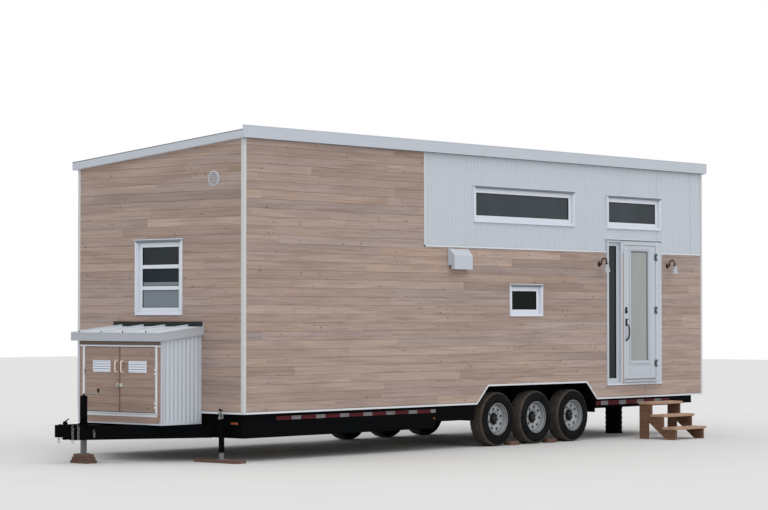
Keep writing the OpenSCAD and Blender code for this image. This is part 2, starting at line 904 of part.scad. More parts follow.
module axles() {
    tube_r = 38;
    hub_in = tyre_in + 62;
    drum_y = tyre_in + tyre_w + 10;
    color(steel_black) at_house() for (i = wheels) translate([axle_x + (i - 1) * axle_step, 0, 0]) {
        translate([0, drum_y, hub_z]) rotate([-90, 0, 0])
            cylinder(r = tube_r, h = house_w - 2 * drum_y);
        translate([0, hub_in, hub_z]) rotate([-90, 0, 0])
            cylinder(r = spindle_r, h = house_w - 2 * hub_in);
        for (y = [rail_y + rail_w / 2, house_w - rail_y - rail_w / 2])
            block([-70, y - 30, hub_z], [70, y + 30, rail_bottom]);
    }
}

module fender() {
    upright(0, well_depth) difference() {
        intersection() {
            well_outline(-seat);
            translate([0, wall_base_z]) square([house_len, wall_base_z]);
        }
        well_outline(-liner_t);
    }
    upright(well_depth - liner_t, liner_t) intersection() {
        well_outline(-seat);
        translate([0, rail_bottom]) square([house_len, wall_base_z]);
    }
    block([well_rear - liner_t - seat, tyre_in, flap_z],
          [well_rear - seat, tyre_in + tyre_w, wall_base_z]);
}

module fenders() {
    color(steel_black) at_house() {
        fender();
        translate([0, house_w, 0]) mirror([0, 1, 0]) fender();
    }
}

// Wheels: drawn with the outer face at z = 0 and the axle along z

module tyre_shape() {
    r = tyre_d / 2;
    bead = rim_d / 2 - 18;
    w = tyre_w;
    rotate_extrude($fn = 96)
        polygon([[bead, 18], [bead + 30, 10], [bead + 70, 1], [bead + 105, 0], [r - 28, 9],
                 [r - 8, 22], [r, 40], [r, w - 40], [r - 8, w - 22], [r - 28, w - 9],
                 [bead + 105, w], [bead + 70, w - 1], [bead + 30, w - 10], [bead, w - 18]]);
}

module rim_shape() {
    r = rim_d / 2;
    bead = r - 18 - fit;
    w = tyre_w;
    holes = 8;
    hole_circle = 130;
    difference() {
        union() {
            rotate_extrude($fn = 96)
                polygon([[r, 7], [r, 12], [bead, 18], [bead, w - 18], [r, w - 12], [r, w - 7],
                         [bead - 8, w - 12], [bead - 8, 92], [bead - 30, 80], [110, 55],
                         [88, 70], [0, 70], [0, 62], [80, 62], [106, 44], [bead - 30, 70],
                         [bead - 10, 80], [bead - 10, 14]]);
            translate([0, 0, 28]) cylinder(r = 52, h = 92);
        }
        translate([0, 0, 60]) cylinder(r = spindle_r + 0.05, h = 100);
        for (a = [0 : 360 / holes : 359])
            rotate([0, 0, a]) translate([hole_circle, 0, 20]) cylinder(r = 17, h = 100);
    }
}

module wheel_place(side, i) {
    x = axle_x + (i - 1) * axle_step;
    at_house() translate([x, side == "near" ? 0 : house_w, hub_z])
        mirror([0, side == "near" ? 0 : 1, 0]) translate([0, tyre_in, 0]) rotate([-90, 0, 0])
            children();
}

module tyre(side, i) {
    color(rubber) wheel_place(side, i) tyre_shape();
}

module rim(side, i) {
    color(zinc) wheel_place(side, i) rim_shape();
}

// Tongue

module tongue_beam() {
    len = 3000;
    intersection() {
        translate([apex_x, center_y - apex_half, tongue_top_z - tongue_h])
            rotate([0, 0, -beam_ang]) translate([0, -tongue_t / 2, 0])
                cube([len, tongue_t, tongue_h]);
        block([coupler_rear_x, 0, 0], [frame_front, center_y, house_w]);
    }
}

module tongue_frame() {
    color(steel_black) at_house() {
        tongue_beam();
        translate([0, house_w, 0]) mirror([0, 1, 0]) tongue_beam();
        at_strands(1, 2) chain_bolt();
    }
}

module coupler() {
    low = 335;
    h = 150;
    bore_h = 56;
    color(steel_black) at_house() {
        difference() {
            union() {
                translate([ball_x, center_y, low]) cylinder(r = coupler_r, h = h);
                translate([0, center_y, low]) linear_extrude(h)
                    polygon([[ball_x, -coupler_r], [coupler_rear_x, -coupler_half],
                             [coupler_rear_x, coupler_half], [ball_x, coupler_r]]);
            }
            translate([ball_x, center_y, low - 1]) cylinder(r = socket_r, h = bore_h + 1);
            translate([ball_x, center_y, low + bore_h]) sphere(r = socket_r);
        }
        block([ball_x + 60, center_y - 14, low + h], [coupler_rear_x - 10, center_y + 14, low + h + 38]);
        translate([ball_x + 62, center_y, low + h + 30]) rotate([0, 65, 0]) cylinder(r = 7, h = 95);
        at_strands(0, 0) chain_bolt();
    }
}

// Each strand of the safety chains: distance behind the nose, height of its bolt, links
chain_strands = [[158, 470, 5], [231, 470, 4], [406, 410, 2]];
chain_wire = 7;
chain_inner_r = 9;
chain_half = 13;
chain_play = 1.8;
chain_pitch = 2 * (chain_half + chain_inner_r) - chain_play;
chain_bolt_r = 5;
chain_out = 36;

// Distance from the centre line to the tongue's outer side
function tongue_side(x) =
    x < coupler_rear_x ? coupler_r + (x - ball_x) / (coupler_rear_x - ball_x) * (coupler_half - coupler_r)
    : apex_half + (x - apex_x) * tan(beam_ang) + tongue_t / 2 / cos(beam_ang);

// One flat link, hanging so that the inside of its upper end is at z = 0
module chain_link() {
    translate([0, chain_wire / 2, -chain_half - chain_inner_r]) rotate([90, 0, 0])
        linear_extrude(chain_wire) difference() {
            union() {
                for (z = [-chain_half, chain_half])
                    translate([0, z]) circle(r = chain_inner_r + chain_wire);
                translate([-chain_inner_r - chain_wire, -chain_half])
                    square([2 * (chain_inner_r + chain_wire), 2 * chain_half]);
            }
            for (z = [-chain_half, chain_half]) translate([0, z]) circle(r = chain_inner_r);
            translate([-chain_inner_r, -chain_half]) square([2 * chain_inner_r, 2 * chain_half]);
        }
}

// Draws children at the bolts of the chosen strands, on both sides of the tongue
module at_strands(first, last) {
    for (s = [0, 1], i = [first : last]) {
        x = -tongue_reach + chain_strands[i][0];
        $links = chain_strands[i][2];
        translate([0, center_y, 0]) mirror([0, s, 0])
            translate([x, tongue_side(x), chain_strands[i][1]]) children();
    }
}

module chain_bolt() {
    head = 6;
    translate([0, -20, 0]) rotate([-90, 0, 0])
        cylinder(r = chain_bolt_r, h = 20 + chain_out + 12);
    translate([0, chain_out + 12, 0]) rotate([-90, 0, 0])
        cylinder(r = chain_bolt_r + 4, h = head, $fn = 6);
}

module safety_chains() {
    color(zinc) at_house() at_strands(0, 2)
        for (i = [0 : $links - 1])
            translate([0, chain_out, chain_bolt_r + fit - i * chain_pitch])
                rotate([0, 0, i % 2 == 0 ? 0 : 90]) chain_link();
}

// A square tube with its closed end up, from z = low to z = high
module leg_tube(w, wall, low, high, cap) {
    difference() {
        block([-w / 2, -w / 2, low], [w / 2, w / 2, high]);
        block([-w / 2 + wall, -w / 2 + wall, low - 1], [w / 2 - wall, w / 2 - wall, high - cap]);
    }
}

// The square leg that slides in such a tube, with its foot plate
module leg(w, wall, low, high, foot_w) {
    half = w / 2 - wall - fit;
    block([-half, -half, low + fit], [half, half, high]);
    block([-foot_w / 2, -foot_w / 2, low + fit], [foot_w / 2, foot_w / 2, low + 8]);
}

jack_wall = 4;
jack_cap = 20;
jack_plate = [250, 470, 12];
jack_spindle_r = 9;

module tongue_jack() {
    gusset = [45, 100, 8];
    top = tongue_top_z + jack_plate[2];
    color(steel_black) at_house() translate([-jack_x, center_y, 0]) {
        difference() {
            leg_tube(jack_w, jack_wall, jack_tube_z, jack_top_z, jack_cap);
            translate([0, 0, jack_top_z - jack_cap - 1])
                cylinder(r = jack_spindle_r + 0.05, h = jack_cap + 2);
        }
        difference() {
            block([-jack_plate[0] / 2, -jack_plate[1] / 2, tongue_top_z],
                  [jack_plate[0] / 2, jack_plate[1] / 2, top]);
            block([-jack_w / 2 + 1, -jack_w / 2 + 1, tongue_top_z - 1],
                  [jack_w / 2 - 1, jack_w / 2 - 1, top + 1]);
        }
        for (a = [0 : 90 : 270])
            rotate([0, 0, a]) translate([jack_w / 2 - 1, gusset[2] / 2, top]) rotate([90, 0, 0])
                linear_extrude(gusset[2]) polygon([[0, 0], [gusset[0], 0], [0, gusset[1]]]);
    }
}

module jack_leg() {
    color(zinc) at_house() translate([-jack_x, center_y, 0])
        leg(jack_w, jack_wall, leg_foot_z, 540, 120);
}

module jack_crank() {
    color(zinc) at_house() translate([-jack_x, center_y, 0]) {
        translate([0, 0, jack_top_z - jack_cap + 2])
            cylinder(r = jack_spindle_r, h = crank_z - jack_top_z + jack_cap + 6);
        rotate([0, 0, crank_turn]) {
            translate([0, 0, crank_z]) rotate([0, 90, 0]) cylinder(r = 7, h = crank_reach);
            translate([crank_reach, 0, crank_z - 7]) cylinder(r = 7, h = 30);
            translate([crank_reach, 0, crank_z + 12]) cylinder(r1 = 12, r2 = 17, h = 50);
        }
    }
}

module stabiliser_jack() {
    arm_h = 30;
    color(steel_black) at_house() translate([post_x, post_y, 0]) {
        leg_tube(post_w, jack_wall, post_bottom_z, post_top_z, 10);
        for (z = [350, 430])
            block([post_w / 2, -post_w / 2, z], [frame_front - post_x, post_w / 2, z + arm_h]);
        block([-20, -20, post_top_z], [20, 42, post_top_z + arm_h]);
        translate([0, 30, post_top_z + arm_h]) cylinder(r = 9, h = 120);
        translate([0, 30, post_top_z + arm_h + 110]) cylinder(r = 14, h = 24);
    }
}

module stabiliser_leg() {
    color(zinc) at_house() translate([post_x, post_y, 0])
        leg(post_w, jack_wall, block_t, 330, 90);
}

// Tongue box

module box_walls() {
    y0 = box_y - box_w / 2;
    y1 = box_y + box_w / 2;
    frame_y = door_half + leaf_gap;
    color(white) at_house() difference() {
        upright(y0, box_w) polygon([
            [-box_d, box_floor_z], [box_back_x, box_floor_z],
            [box_back_x, box_top_z(box_back_x) - seat], [-box_d, box_top_z(-box_d) - seat]]);
        block([-box_d + box_t, y0 + box_t, box_floor_z + box_t],
              [box_back_x - box_t, y1 - box_t, box_top_z(0) + 10]);
        block([-box_d - 1, box_y - frame_y, box_door_z - leaf_gap],
              [-box_d + box_t + 1, box_y + frame_y, box_door_top_z + leaf_gap]);
    }
}

module box_frame() {
    inner = door_half + leaf_gap;
    outer = inner + box_trim_w;
    low = box_door_z - leaf_gap;
    high = box_door_top_z + leaf_gap;
    ring_x = -box_d - box_ring_t;
    head_half = box_w / 2 - box_corner_w;
    color(white) at_house() {
        difference() {
            block([ring_x, box_y - outer, low - box_sill_h],
                  [-box_d, box_y + outer, high + box_head_h]);
            block([ring_x - 1, box_y - inner, low], [-box_d + 1, box_y + inner, high]);
        }
        block([ring_x, box_y - head_half, high], [-box_d, box_y + head_half, high + box_head_h]);
        translate([0, box_y, 0]) box_pins();
        translate([0, box_y, 0]) mirror([0, 1, 0]) box_pins();
    }
}

// Fixed halves of the hinges on the high side of the tongue box
module box_pins() {
    play = 0.5;
    reach = box_knuckle_h / 2 + play + box_knuckle_h;
    for (z = box_hinge_zs) {
        translate([box_axis_x, box_axis_y, z - reach]) cylinder(r = box_pin_r, h = 2 * reach);
        for (low = [z - reach, z + box_knuckle_h / 2 + play]) {
            translate([box_axis_x, box_axis_y, low])
                cylinder(r = box_knuckle_r, h = box_knuckle_h);
            block([box_axis_x, box_axis_y + 4, low],
                  [-box_d - box_ring_t, box_axis_y + 30, low + box_knuckle_h]);
            block([box_axis_x - box_pin_r - 1.5, box_axis_y, low],
                  [box_axis_x + box_pin_r + 1.5, box_axis_y + 5, low + box_knuckle_h]);
        }
    }
}

module box_roof() {
    y0 = box_y - box_w / 2 - box_near_over;
    y1 = box_y + box_w / 2 + box_over;
    in_y0 = y0 + edge_board_t + box_near_over;
    in_y1 = y1 - edge_board_t - box_over;
    lid_t = 30;
    upstand_h = 62;
    upstand_t = 10;
    x0 = -box_d - box_over;
    x1 = box_back_x;
    in_x0 = x0 + edge_board_t + box_over;
    in_x1 = x1 - lid_t;
    flashing_z = box_top_z(x1) + box_edge_h + upstand_h;
    color(white) at_house() difference() {
        upright(y0, y1 - y0) polygon([
            [x0, box_top_z(x0)], [x1, box_top_z(x1)], [x1, flashing_z],
            [x1 - upstand_t, flashing_z], [x1 - upstand_t, box_top_z(x1) + box_edge_h],
            [x0, box_top_z(x0) + box_edge_h]]);
        upright(in_y0, in_y1 - in_y0) polygon([
            [in_x0, box_top_z(in_x0) - 1], [in_x1, box_top_z(in_x1) - 1],
            [in_x1, box_top_z(in_x1) + box_edge_h - lid_t],
            [in_x0, box_top_z(in_x0) + box_edge_h - lid_t]]);
    }
}

// A leaf of the tongue box, hinged on its high side
module box_leaf() {
    handle_y = 55;
    handle_r = 7;
    handle_out = 40;
    handle_h = 150;
    louvre_z = box_door_z + 500;
    louvre_h = 137;
    louvre_y = 175;
    louvre_w = 315;
    block([-box_d, mid_gap, box_door_z], [-box_d + box_t, door_half, box_door_top_z]);
    block([-box_d - 10, louvre_y, louvre_z], [-box_d, louvre_y + louvre_w, louvre_z + louvre_h]);
    for (z = [louvre_z, louvre_z + handle_h - 2 * handle_r])
        translate([-box_d, handle_y, z]) rotate([0, -90, 0]) cylinder(r = handle_r, h = handle_out);
    translate([-box_d - handle_out, handle_y, louvre_z - handle_r])
        cylinder(r = handle_r, h = handle_h);
    difference() {
        for (z = box_hinge_zs) {
            low = z - box_knuckle_h / 2;
            translate([box_axis_x, box_axis_y, low])
                cylinder(r = box_knuckle_r, h = box_knuckle_h);
            block([box_axis_x, door_half - 30, low], [-box_d, door_half - 1, low + box_knuckle_h]);
            block([box_axis_x - box_pin_r - 1.5, door_half - 2, low],
                  [box_axis_x + box_pin_r + 1.5, box_axis_y, low + box_knuckle_h]);
        }
        for (z = box_hinge_zs)
            translate([box_axis_x, box_axis_y, z - box_knuckle_h])
                cylinder(r = box_pin_r + 0.05, h = 2 * box_knuckle_h);
    }
}

module box_door_left() {
    color(timber) at_house() translate([0, box_y, 0]) box_leaf();
}

module box_door_right() {
    color(timber) at_house() translate([0, box_y, 0]) mirror([0, 1, 0]) box_leaf();
}

// Steps and timber

chock = [200, 120, 55];
chock_behind = 270;
chock_xs = [axle_x + chock_behind, axle_x + axle_step + chock_behind];
plank = [180, 745];
plank_ahead = 345;
pad = [180, 300];
pad_step = [12, 15];

function tread_z(i) = step_z + i * step_rise;
function tread_y(i) = -steps_reach + i * step_run;

module step_treads() {
    color(deck_timber) at_house() for (i = [0 : 2])
        block([step_x, tread_y(i), tread_z(i) - tread_t],
              [step_x + step_w, tread_y(i) + tread_d, tread_z(i)]);
}

module step_frame() {
    board = tread_t;
    inset = 25;
    nose = tread_d - step_run;
    top = tread_z(2) - tread_t;
    leg_d = 150;
    brace_h = 250;
    back_y = -step_gap;
    color(deck_timber) at_house()
        for (x = [step_x + inset, step_x + step_w - inset - board])
            translate([x, 0, 0]) rotate([90, 0, 90]) linear_extrude(board) polygon([
                [back_y, 0], [back_y, top], [tread_y(2) + nose, top],
                [tread_y(2) + nose, tread_z(1) - tread_t], [tread_y(1) + nose, tread_z(1) - tread_t],
                [tread_y(1) + nose, tread_z(0) - tread_t], [tread_y(0) + nose, tread_z(0) - tread_t],
                [tread_y(0) + nose, 0], [tread_y(0) + nose + leg_d, 0],
                [back_y - leg_d, top - brace_h], [back_y - leg_d, 0]]);
}

module timber_blocks() {
    color(deck_timber) at_house() {
        for (i = [0 : 2])
            block([-jack_x - pad[0] / 2 + i * pad_step[0], center_y - pad[1] / 2 + i * pad_step[1],
                   i * block_t + (i > 0 ? fit : 0)],
                  [-jack_x + pad[0] / 2 - i * pad_step[0], center_y + pad[1] / 2 - i * pad_step[1],
                   (i + 1) * block_t]);
        block([post_x - plank[0] / 2, post_y - plank_ahead, 0],
              [post_x + plank[0] / 2, post_y - plank_ahead + plank[1], block_t]);
        for (x = chock_xs)
            block([x, tyre_in, 0], [x + chock[0], tyre_in + chock[1], chock[2]]);
    }
}

floor_deck();
front_wall();
rear_wall();
far_wall();
door_wall_front();
door_wall_over();
door_wall_rear();
door_wall_sill();
roof_deck();
roof_metal();
eave_boards();
rake_boards();
corner_trims();
base_trim();
metal_panels();
front_window();
side_windows();
far_windows();
window_glass();
door_frame();
entry_door();
entry_door_glass();
entry_door_hardware();
door_hinges();
wall_lamps();
lamp_shades();
wall_vents();
chassis_rails();
cross_members();
rear_supports();
axles();
fenders();
tongue_frame();
coupler();
safety_chains();
tongue_jack();
jack_leg();
jack_crank();
stabiliser_jack();
stabiliser_leg();
box_walls();
box_frame();
box_roof();
box_door_left();
box_door_right();
step_treads();
step_frame();
timber_blocks();
for (side = sides, i = wheels) {
    tyre(side, i);
    rim(side, i);
}
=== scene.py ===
import math
import random

import bmesh
import bpy
from mathutils import Matrix, Vector


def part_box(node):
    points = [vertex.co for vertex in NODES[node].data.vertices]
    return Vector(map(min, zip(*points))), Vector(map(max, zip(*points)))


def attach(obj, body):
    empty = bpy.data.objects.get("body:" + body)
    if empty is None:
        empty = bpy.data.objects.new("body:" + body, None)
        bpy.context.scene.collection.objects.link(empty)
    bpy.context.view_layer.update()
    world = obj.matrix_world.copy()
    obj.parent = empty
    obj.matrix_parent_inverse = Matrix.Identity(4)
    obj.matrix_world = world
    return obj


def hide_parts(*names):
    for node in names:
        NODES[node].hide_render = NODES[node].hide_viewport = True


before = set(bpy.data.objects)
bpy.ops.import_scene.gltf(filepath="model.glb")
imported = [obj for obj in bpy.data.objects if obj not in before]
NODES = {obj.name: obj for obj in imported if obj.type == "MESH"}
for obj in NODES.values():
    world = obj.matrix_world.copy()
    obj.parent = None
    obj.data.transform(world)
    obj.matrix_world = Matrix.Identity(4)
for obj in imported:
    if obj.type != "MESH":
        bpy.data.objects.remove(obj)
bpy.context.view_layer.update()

# Lengths are in millimetres in the house's own frame: X from the front wall to the rear, Y from the door
# side to the far side, Z up from the ground. HOUSE takes them to metres in the shared frame.
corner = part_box("front_wall")[0]
HOUSE = Matrix.Translation((corner.x, corner.y, 0)) @ Matrix.Scale(0.001, 4)

HOUSE_L = 10170
HOUSE_W = 3050
BASE_Z = 600
SOFFIT_HIGH = 4040
SOFFIT_LOW = 3765
SLOPE = (SOFFIT_HIGH - SOFFIT_LOW) / HOUSE_W
ROOF_OVER = 68
TRIM_W = 32
PANEL_X = 3460
PANEL_Z = 2765
WALL_T = 140
WELL_X = 4594
WELL_REAR = 7407
WELL_TOP = 847
WELL_SLOPE = 256
BOX_Y = 1505


def soffit(y):
    return SOFFIT_HIGH - SLOPE * y


# ---------------------------------------------------------------- mesh building


class Shape:
    """Collects solids in millimetres, and becomes one object."""

    def __init__(self, name):
        self.name = name
        self.verts, self.faces, self.slots, self.smooth = [], [], [], []
        self.tints, self.grains = [], []
        self.place = Matrix()
        self.slot = 0
        self.tint = (1.0, 1.0, 1.0)
        self.grain = (0, 2, 1, 0.0)

    def add(self, verts, faces, smooth=False):
        start = len(self.verts)
        a, b, c, shift = self.grain
        for v in verts:
            self.verts.append(self.place @ Vector(v))
            self.grains.append((v[a] / 1000 + shift, v[b] / 1000 + shift * 0.7, v[c] / 1000 + shift * 1.3))
            self.tints.append(self.tint)
        for f in faces:
            self.faces.append([start + i for i in f])
            self.slots.append(self.slot)
            self.smooth.append(smooth)

    def box(self, lo, hi, bevel=2.0):
        """A block with bevelled edges."""
        lo, hi = [min(a, b) for a, b in zip(lo, hi)], [max(a, b) for a, b in zip(lo, hi)]
        bevel = min([bevel] + [(h - l) * 0.45 for l, h in zip(lo, hi)])
        verts, index = [], {}
        corners = [(x, y, z) for x in (0, 1) for y in (0, 1) for z in (0, 1)]
        for s in corners:
            for axis in range(3):
                index[s, axis] = len(verts)
                verts.append([
                    (hi[k] if s[k] else lo[k]) + (0 if k == axis else (-bevel if s[k] else bevel))
                    for k in range(3)
                ])
        faces = []
        for a in range(3):
            b, c = (a + 1) % 3, (a + 2) % 3
            for side in (0, 1):
                ring = []
                for sb, sc in ((0, 0), (1, 0), (1, 1), (0, 1)):
                    s = [0, 0, 0]
                    s[a], s[b], s[c] = side, sb, sc
                    ring.append(index[tuple(s), a])
                faces.append(ring)
            for sb in (0, 1):
                for sc in (0, 1):
                    s0, s1 = [0, 0, 0], [0, 0, 0]
                    s0[b] = s1[b] = sb
                    s0[c] = s1[c] = sc
                    s1[a] = 1
                    s0, s1 = tuple(s0), tuple(s1)
                    faces.append([index[s0, b], index[s1, b], index[s1, c], index[s0, c]])
        faces += [[index[s, 0], index[s, 1], index[s, 2]] for s in corners]
        self.add(verts, faces)

    def prism(self, points, lo, hi, axis=1):
        """A flat outline pushed along an axis: the outline's points are in the other two axes' order."""
        n = len(points)
        verts = []
        for depth in (lo, hi):
            for p in points:
                v = list(p)
                v.insert(axis, depth)
                verts.append(v)
        faces = [list(range(n)), list(range(2 * n - 1, n - 1, -1))]
        faces += [[i, (i + 1) % n, n + (i + 1) % n, n + i] for i in range(n)]
        self.add(verts, faces)

    def lathe(self, profile, center=(0, 0, 0), axis=(0, 0, 1), segments=32, closed=False, turn=None):
        """Turns a profile of (radius, height) about an axis. turn(i, j, r) may change a point's radius."""
        to_axis = Vector((0, 0, 1)).rotation_difference(Vector(axis)).to_matrix().to_4x4()
        m = Matrix.Translation(center) @ to_axis
        verts, rings = [], []
        for j, (r, h) in enumerate(profile):
            if r < 1e-6:
                rings.append([len(verts)] * segments)
                verts.append(m @ Vector((0, 0, h)))
                continue
            ring = []
            for i in range(segments):
                a = 2 * math.pi * i / segments
                rr = turn(i, j, r) if turn else r
                ring.append(len(verts))
                verts.append(m @ Vector((rr * math.cos(a), rr * math.sin(a), h)))
            rings.append(ring)
        faces = []
        count = len(rings)
        for j in range(count if closed else count - 1):
            p, q = rings[j], rings[(j + 1) % count]
            for i in range(segments):
                k = (i + 1) % segments
                face = [p[i], p[k], q[k], q[i]]
                face = [x for n, x in enumerate(face) if x != face[n - 1]]
                if len(face) > 2:
                    faces.append(face)
        if not closed:
            for ring in (rings[0], rings[-1]):
                if ring[0] != ring[1]:
                    faces.append(list(ring))
        self.add(verts, faces, smooth=True)

    def tube(self, path, radius, segments=12, closed=False, flat=1.0):
        """A round rod along a path; radius may be a list, one for each point."""
        path = [Vector(p) for p in path]
        n = len(path)
        radii = radius if isinstance(radius, (list, tuple)) else [radius] * n
        verts, rings = [], []
        normal = None
        for i, p in enumerate(path):
            before = path[i - 1] if (i or closed) else p
            after = path[(i + 1) % n] if (i < n - 1 or closed) else p
            tangent = (after - before).normalized()
            if normal is None:
                normal = tangent.orthogonal().normalized()
            normal = (normal - tangent * normal.dot(tangent)).normalized()
            side = tangent.cross(normal)
            ring = []
            for k in range(segments):
                a = 2 * math.pi * k / segments
                ring.append(len(verts))
                verts.append(p + radii[i] * (math.cos(a) * normal + flat * math.sin(a) * side))
            rings.append(ring)
        faces = []
        for i in range(n if closed else n - 1):
            p, q = rings[i], rings[(i + 1) % n]
            faces += [[p[k], p[(k + 1) % segments], q[(k + 1) % segments], q[k]] for k in range(segments)]
        if not closed:
            faces += [rings[0], rings[-1]]
        self.add(verts, faces, smooth=True)

    def bolt(self, center, axis, size=9, height=6):
        """A hexagon head on a washer."""
        self.lathe([(0, 0), (size * 1.5, 0), (size * 1.5, 1.6), (0, 1.6)], center, axis, 20)
        head = [(0, 1.6), (size, 1.6), (size, height - 1), (size - 1, height), (0, height)]
        self.lathe(head, center, axis, 6)

    def screw(self, center, axis, segments=14):
        """A small round head."""
        self.lathe([(0, 0), (4, 0), (4, 1), (2.5, 1.8), (0, 1.8)], center, axis, segments)

    def make(self, materials, body="house", slot=None, sharp=38.0, trim=None, replaces=()):
        mesh = bpy.data.meshes.new(self.name)
        mesh.from_pydata([HOUSE @ v for v in self.verts], [], self.faces)
        for i, m in enumerate(materials):
            mesh.materials.append(m)
        mesh.polygons.foreach_set("material_index", self.slots)
        grain = mesh.attributes.new("grain", "FLOAT_VECTOR", "POINT")
        grain.data.foreach_set("vector", [x for g in self.grains for x in g])
        tint = mesh.attributes.new("tint", "FLOAT_COLOR", "POINT")
        tint.data.foreach_set("color", [x for t in self.tints for x in (*t, 1.0)])
        bm = bmesh.new()
        bm.from_mesh(mesh)
        for face, smooth in zip(bm.faces, self.smooth):
            face.smooth = smooth
        if trim:
            point, direction = trim
            cut = bmesh.ops.bisect_plane(
                bm, geom=bm.verts[:] + bm.edges[:] + bm.faces[:], dist=1e-6,
                plane_co=HOUSE @ Vector(point), plane_no=direction, clear_outer=True)
            edges = [e for e in cut["geom_cut"] if isinstance(e, bmesh.types.BMEdge)]
            bmesh.ops.holes_fill(bm, edges=edges, sides=0)
        bmesh.ops.recalc_face_normals(bm, faces=bm.faces)
        bm.to_mesh(mesh)
        bm.free()
        mesh.set_sharp_from_angle(angle=math.radians(sharp))
        ob = bpy.data.objects.new(self.name, mesh)
        bpy.context.scene.collection.objects.link(ob)
        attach(ob, body)
        if replaces:
            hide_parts(*replaces)
        return ob


# Walls, as seen from outside: 0 door side, 1 front, 2 far side, 3 rear. On a wall x runs to the right,
# y into the wall and z up.
WALLS = [((0, 0), 0), ((0, HOUSE_W), -90), ((HOUSE_L, HOUSE_W), 180), ((HOUSE_L, 0), 90)]
WALL_LEN = [HOUSE_L, HOUSE_W, HOUSE_L, HOUSE_W]


def wall(side):
    (x, y), angle = WALLS[side]
    return Matrix.Translation((x, y, 0)) @ Matrix.Rotation(math.radians(angle), 4, "Z")


# ---------------------------------------------------------------- materials


def tone(r, g, b):
    """A colour given as it shows on a screen, 0 to 255."""
    def lin(v):
        v /= 255
        return v / 12.92 if v <= 0.04045 else ((v + 0.055) / 1.055) ** 2.4
    return (lin(r), lin(g), lin(b), 1.0)


class Nodes:
    """A node tree: small helpers add nodes and return their sockets."""

    def __init__(self, tree):
        self.tree = tree

    def node(self, kind, **inputs):
        node = self.tree.nodes.new("ShaderNode" + kind)
        for key, value in inputs.items():
            self.put(node, key.replace("_", " "), value)
        return node

    def put(self, node, key, value):
        socket = node.inputs[key]
        if isinstance(value, bpy.types.NodeSocket):
            self.tree.links.new(value, socket)
        else:
            socket.default_value = value

    def ramp(self, fac, *stops):
        node = self.node("ValToRGB", Fac=fac)
        elements = node.color_ramp.elements
        while len(elements) < len(stops):
            elements.new(0.5)
        for element, (position, color) in zip(elements, stops):
            element.position = position
            element.color = color if isinstance(color, tuple) else (color, color, color, 1)
        return node.outputs["Color"]

    def calc(self, kind, a, b=0.0):
        node = self.node("Math")
        node.operation = kind
        self.put(node, 0, a)
        self.put(node, 1, b)
        return node.outputs[0]


class Look(Nodes):
    """A node material."""

    def __init__(self, name, color, rough, metal=0.0, **sockets):
        self.mat = bpy.data.materials.new(name)
        self.mat.use_nodes = True
        super().__init__(self.mat.node_tree)
        self.shader = self.tree.nodes["Principled BSDF"]
        self.shader.inputs["Base Color"].default_value = color
        self.shader.inputs["Roughness"].default_value = rough
        self.shader.inputs["Metallic"].default_value = metal
        for key, value in sockets.items():
            self.shader.inputs[key.replace("_", " ")].default_value = value
        self.mat.diffuse_color = color

    def out(self, key, value):
        self.put(self.shader, key, value)

    def coords(self, scale=(1, 1, 1)):
        source = self.node("TexCoord").outputs["Object"]
        return self.node("Mapping", Vector=source, Scale=scale).outputs[0]

    def stored(self, name, output):
        source = self.node("Attribute")
        source.attribute_name = name
        return source.outputs[output]

    def grain(self, scale):
        return self.node("Mapping", Vector=self.stored("grain", "Vector"), Scale=scale).outputs[0]

    def tint(self):
        return self.stored("tint", "Color")

    def noise(self, vector, scale=1.0, detail=4.0, rough=0.55):
        return self.node("TexNoise", Vector=vector, Scale=scale, Detail=detail, Roughness=rough).outputs["Fac"]

    def mix(self, fac, a, b, mode="MIX"):
        node = self.node("Mix")
        node.data_type = "RGBA"
        node.blend_type = mode
        # The colour pair of a Mix node sits at its inputs 6 and 7, and the result at output 2
        for index, value in ((0, fac), (6, a), (7, b)):
            self.put(node, index, value)
        return node.outputs[2]

    def bump(self, height, strength=0.3, distance=0.001):
        node = self.node("Bump", Height=height, Strength=strength, Distance=distance)
        self.out("Normal", node.outputs[0])


def wood(name, light, mid, dark, rough=0.75, knots=0.9, reflection_streak=0.5):
    """Boards with grain along each board, a tint of their own and small dark knots."""
    light, mid, dark = tone(*light), tone(*mid), tone(*dark)
    k = Look(name, mid, rough)
    broad = k.noise(k.grain((1.3, 26, 9)), 1.0, 5.0, 0.62)
    fine = k.noise(k.grain((9, 420, 60)), 1.0, 3.0, 0.6)
    patch = k.noise(k.grain((0.9, 3.5, 2)), 1.0, 3.0, 0.5)
    color = k.ramp(broad, (0.22, dark), (0.5, mid), (0.8, light))
    color = k.mix(k.calc("MULTIPLY", fine, reflection_streak), color, dark, "MIX")
    color = k.mix(k.ramp(patch, (0.42, 0.0), (0.7, 0.35)), color, dark)
    cells = k.node("TexVoronoi", Vector=k.grain((5.6, 9.0, 3)), Scale=1.0, Randomness=1.0)
    near = k.ramp(cells.outputs["Distance"], (0.04, 1.0), (0.15, 0.0))
    chosen = k.ramp(cells.outputs["Color"], (0.34, 0.0), (0.4, 1.0))
    knot = k.calc("MULTIPLY", k.calc("MULTIPLY", near, chosen), knots)
    knot_color = (dark[0] * 0.5, dark[1] * 0.42, dark[2] * 0.4, 1.0)
    color = k.mix(knot, color, knot_color)
    color = k.mix(1.0, color, k.tint(), "MULTIPLY")
    k.out("Base Color", color)
    k.out("Roughness", k.ramp(broad, (0.2, rough + 0.1), (0.8, rough - 0.1)))
    k.bump(k.calc("ADD", k.calc("MULTIPLY", fine, 0.6), broad), 0.35, 0.0012)
    return k.mat


